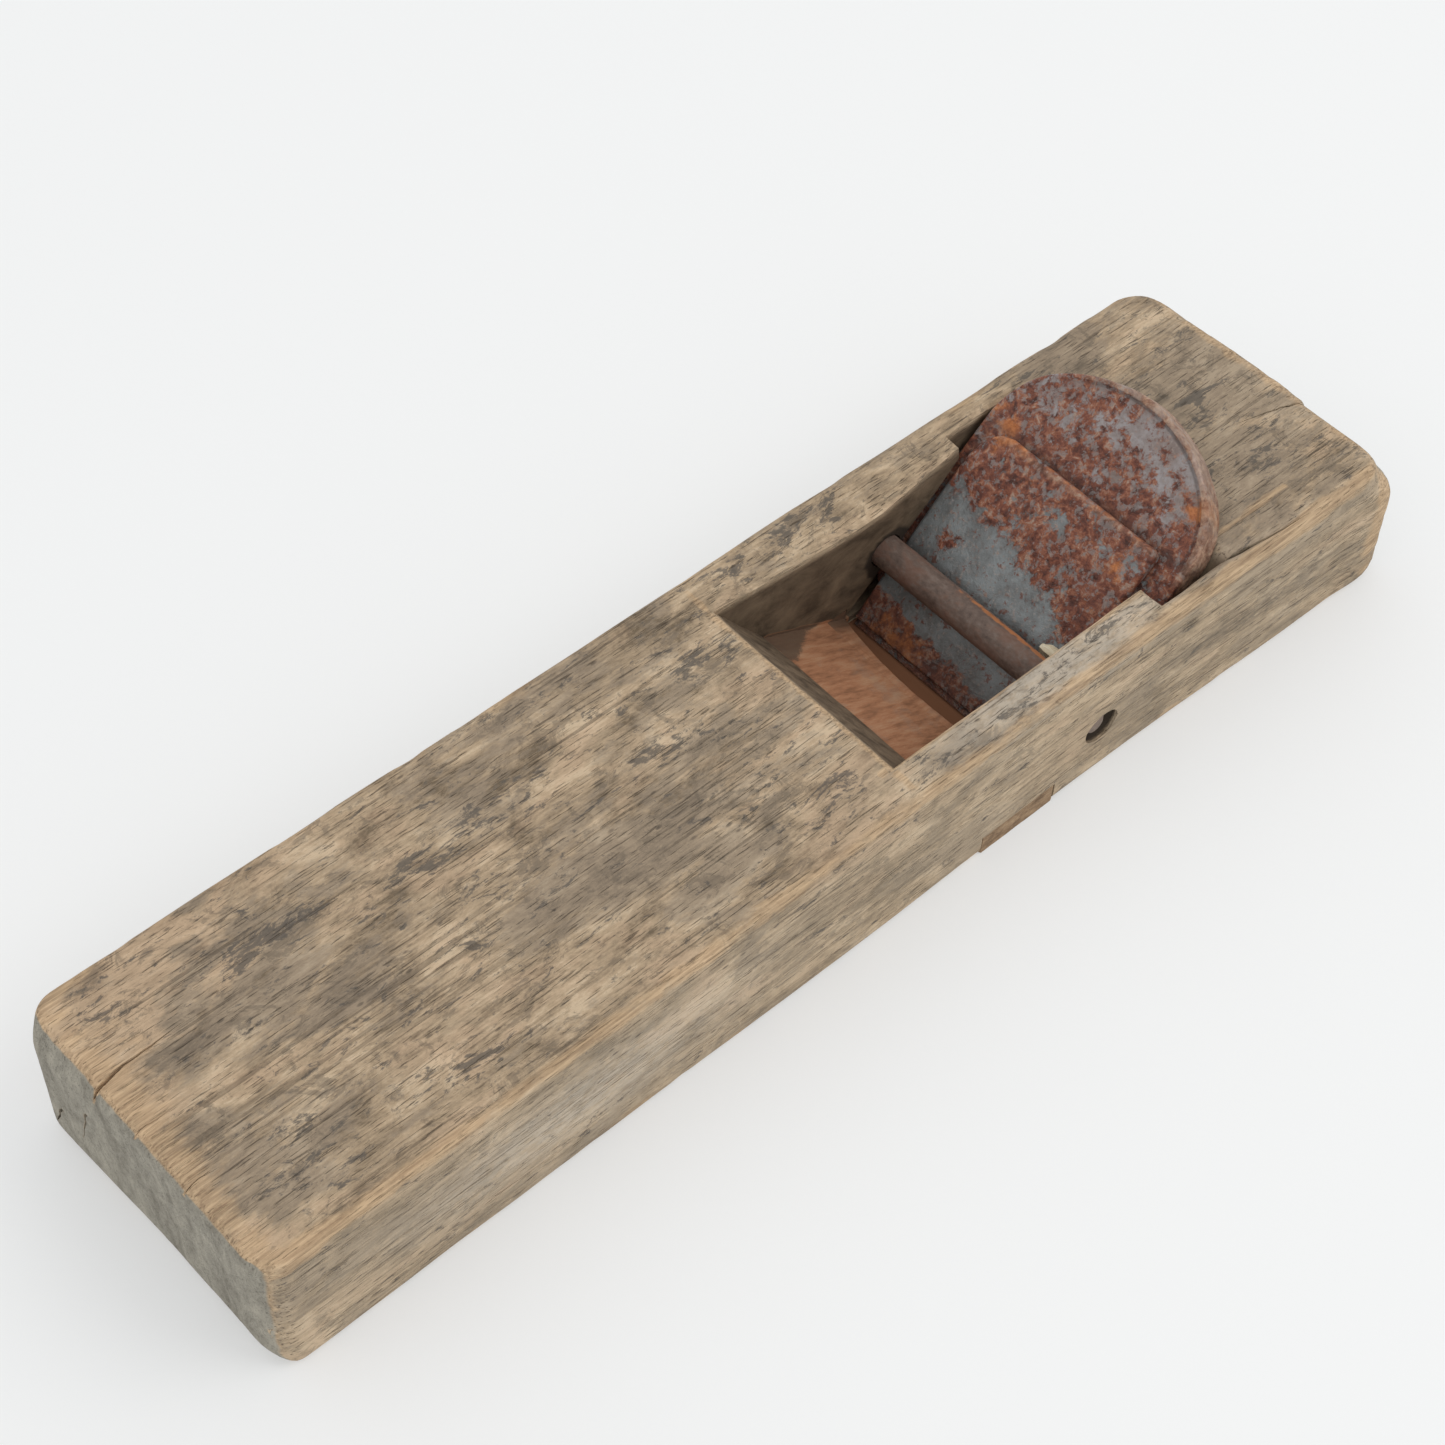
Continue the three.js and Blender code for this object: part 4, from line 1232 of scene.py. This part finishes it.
class HANDPLANE_OT_stage(bpy.types.Operator):
    """Lay the pale floor, light it softly and place the camera"""
    bl_idname = "handplane.stage"
    bl_label = "Stage"

    def execute(self, context):
        studio = group("studio")
        side = np.linspace(-studio.reach / 2, studio.reach / 2, 13)
        x, y = np.meshgrid(side, side)
        points = np.stack([x, y, 0 * x - 0.0002], -1).reshape(-1, 3)
        index = np.arange(len(points)).reshape(x.shape)
        quads = np.stack([index[:-1, :-1], index[:-1, 1:], index[1:, 1:], index[1:, :-1]], -1).reshape(-1, 4)
        mesh = bpy.data.meshes.new("floor")
        mesh.from_pydata(points.tolist(), [], quads.tolist())
        floor = bpy.data.objects.new("floor", mesh)
        context.scene.collection.objects.link(floor)
        f = Finish("matt floor")
        haze = f.noise((700,) * 3, 2, 0.5)
        pale = tuple(studio.floor)
        colour = f.ramp(haze, (0.3, shade(pale, 0.985)), (0.7, pale))
        grain = f.noise((1.6,) * 3, 3, 0.5)
        along, across = (f.add("SeparateXYZ", [f.place], axis) for axis in "XY")
        # Painted shadow: under the mouth the floor is reddish brown and does not glow, as it is seen in shade
        # through the slit.
        from_mouth = f.math("ABSOLUTE", along - FACE_FOOT_X * MM)
        beside = f.math("MAXIMUM", from_mouth - 0.012, f.math("ABSOLUTE", across) - 0.027)
        outside_mouth_shadow = f.step(beside, 0.0, 0.002)
        colour = f.mix(outside_mouth_shadow, (0.23, 0.105, 0.055), colour)
        f.shader.inputs["Emission Color"].default_value = (0.99, 1.0, 1.0, 1)
        f.set(f.shader.inputs["Emission Strength"], outside_mouth_shadow * studio.glow)
        mesh.materials.append(f.finish(colour, 0.9, f.bump(grain, 0.05, 0.4), specular=0.1))

        world = bpy.data.worlds.new("studio air")
        context.scene.world = world
        world.use_nodes = True
        world.node_tree.nodes["Background"].inputs[0].default_value = (0.97, 0.985, 1.0, 1)
        world.node_tree.nodes["Background"].inputs[1].default_value = studio.fill
        self.lamp(context, "soft key", (0.75, -0.85, 1.35), 1.1, studio.key)

        eye = bpy.data.cameras.new("camera")
        eye.lens, eye.sensor_width, eye.sensor_fit = studio.lens, 36.0, "AUTO"
        eye.clip_start, eye.clip_end = 0.01, 20
        camera = bpy.data.objects.new("camera", eye)
        context.scene.collection.objects.link(camera)
        azimuth, elevation, roll = np.radians(CAMERA_TURN)
        back = np.array([np.sin(azimuth) * np.cos(elevation), -np.cos(azimuth) * np.cos(elevation),
                         np.sin(elevation)])
        level = np.array([np.cos(azimuth), np.sin(azimuth), 0])
        rise = np.cross(back, level)
        right = np.cos(roll) * level + np.sin(roll) * rise
        up = np.cos(roll) * rise - np.sin(roll) * level
        pose = np.eye(4)
        pose[:3, :3] = np.stack([right, up, back], 1)
        pose[:3, 3] = CAMERA_PLACE
        camera.matrix_world = Matrix(pose.tolist())
        context.scene.camera = camera
        context.scene.view_settings.view_transform = "Standard"
        return {"FINISHED"}

    def lamp(self, context, name, place, size, power):
        light = bpy.data.lights.new(name, "AREA")
        light.shape, light.size, light.energy = "DISK", size, power
        light.color = (1.0, 0.985, 0.96)
        lamp = bpy.data.objects.new(name, light)
        context.scene.collection.objects.link(lamp)
        away = np.array(place) / np.linalg.norm(place)
        across = np.cross((0, 0, 1), away)
        across /= np.linalg.norm(across)
        pose = np.eye(4)
        pose[:3, :3] = np.stack([across, np.cross(away, across), away], 1)
        pose[:3, 3] = place
        lamp.matrix_world = Matrix(pose.tolist())


class HANDPLANE_PT_panel(bpy.types.Panel):
    """Lists the pieces of the hand plane"""
    bl_idname = "HANDPLANE_PT_panel"
    bl_label = "Hand plane"
    bl_space_type = "VIEW_3D"
    bl_region_type = "UI"
    bl_category = "Hand plane"

    def draw(self, context):
        for name in SETTINGS:
            box = self.layout.box()
            for key in group(name).__annotations__:
                box.prop(group(name), key)
        for operator in OPERATORS:
            self.layout.operator(operator.bl_idname)


SETTINGS = {"block": BlockSizes, "irons": IronSizes, "wood": WoodColours, "iron_colours": IronColours,
            "studio": StudioSettings}
OPERATORS = (HANDPLANE_OT_block, HANDPLANE_OT_patch, HANDPLANE_OT_blade, HANDPLANE_OT_breaker,
             HANDPLANE_OT_pin, HANDPLANE_OT_splinter, HANDPLANE_OT_stage)


def register():
    for made in (*SETTINGS.values(), *OPERATORS, HANDPLANE_PT_panel):
        bpy.utils.register_class(made)
    for name, made in SETTINGS.items():
        setattr(bpy.types.Scene, "hand_plane_" + name, bpy.props.PointerProperty(type=made))


def unregister():
    for name in SETTINGS:
        delattr(bpy.types.Scene, "hand_plane_" + name)
    for made in (HANDPLANE_PT_panel, *reversed(OPERATORS), *reversed(SETTINGS.values())):
        bpy.utils.unregister_class(made)


def main():
    register()
    bpy.ops.handplane.block()
    bpy.ops.handplane.patch()
    bpy.ops.handplane.blade()
    bpy.ops.handplane.breaker()
    bpy.ops.handplane.pin()
    bpy.ops.handplane.splinter()
    bpy.ops.handplane.stage()


if __name__ == "__main__":
    main()
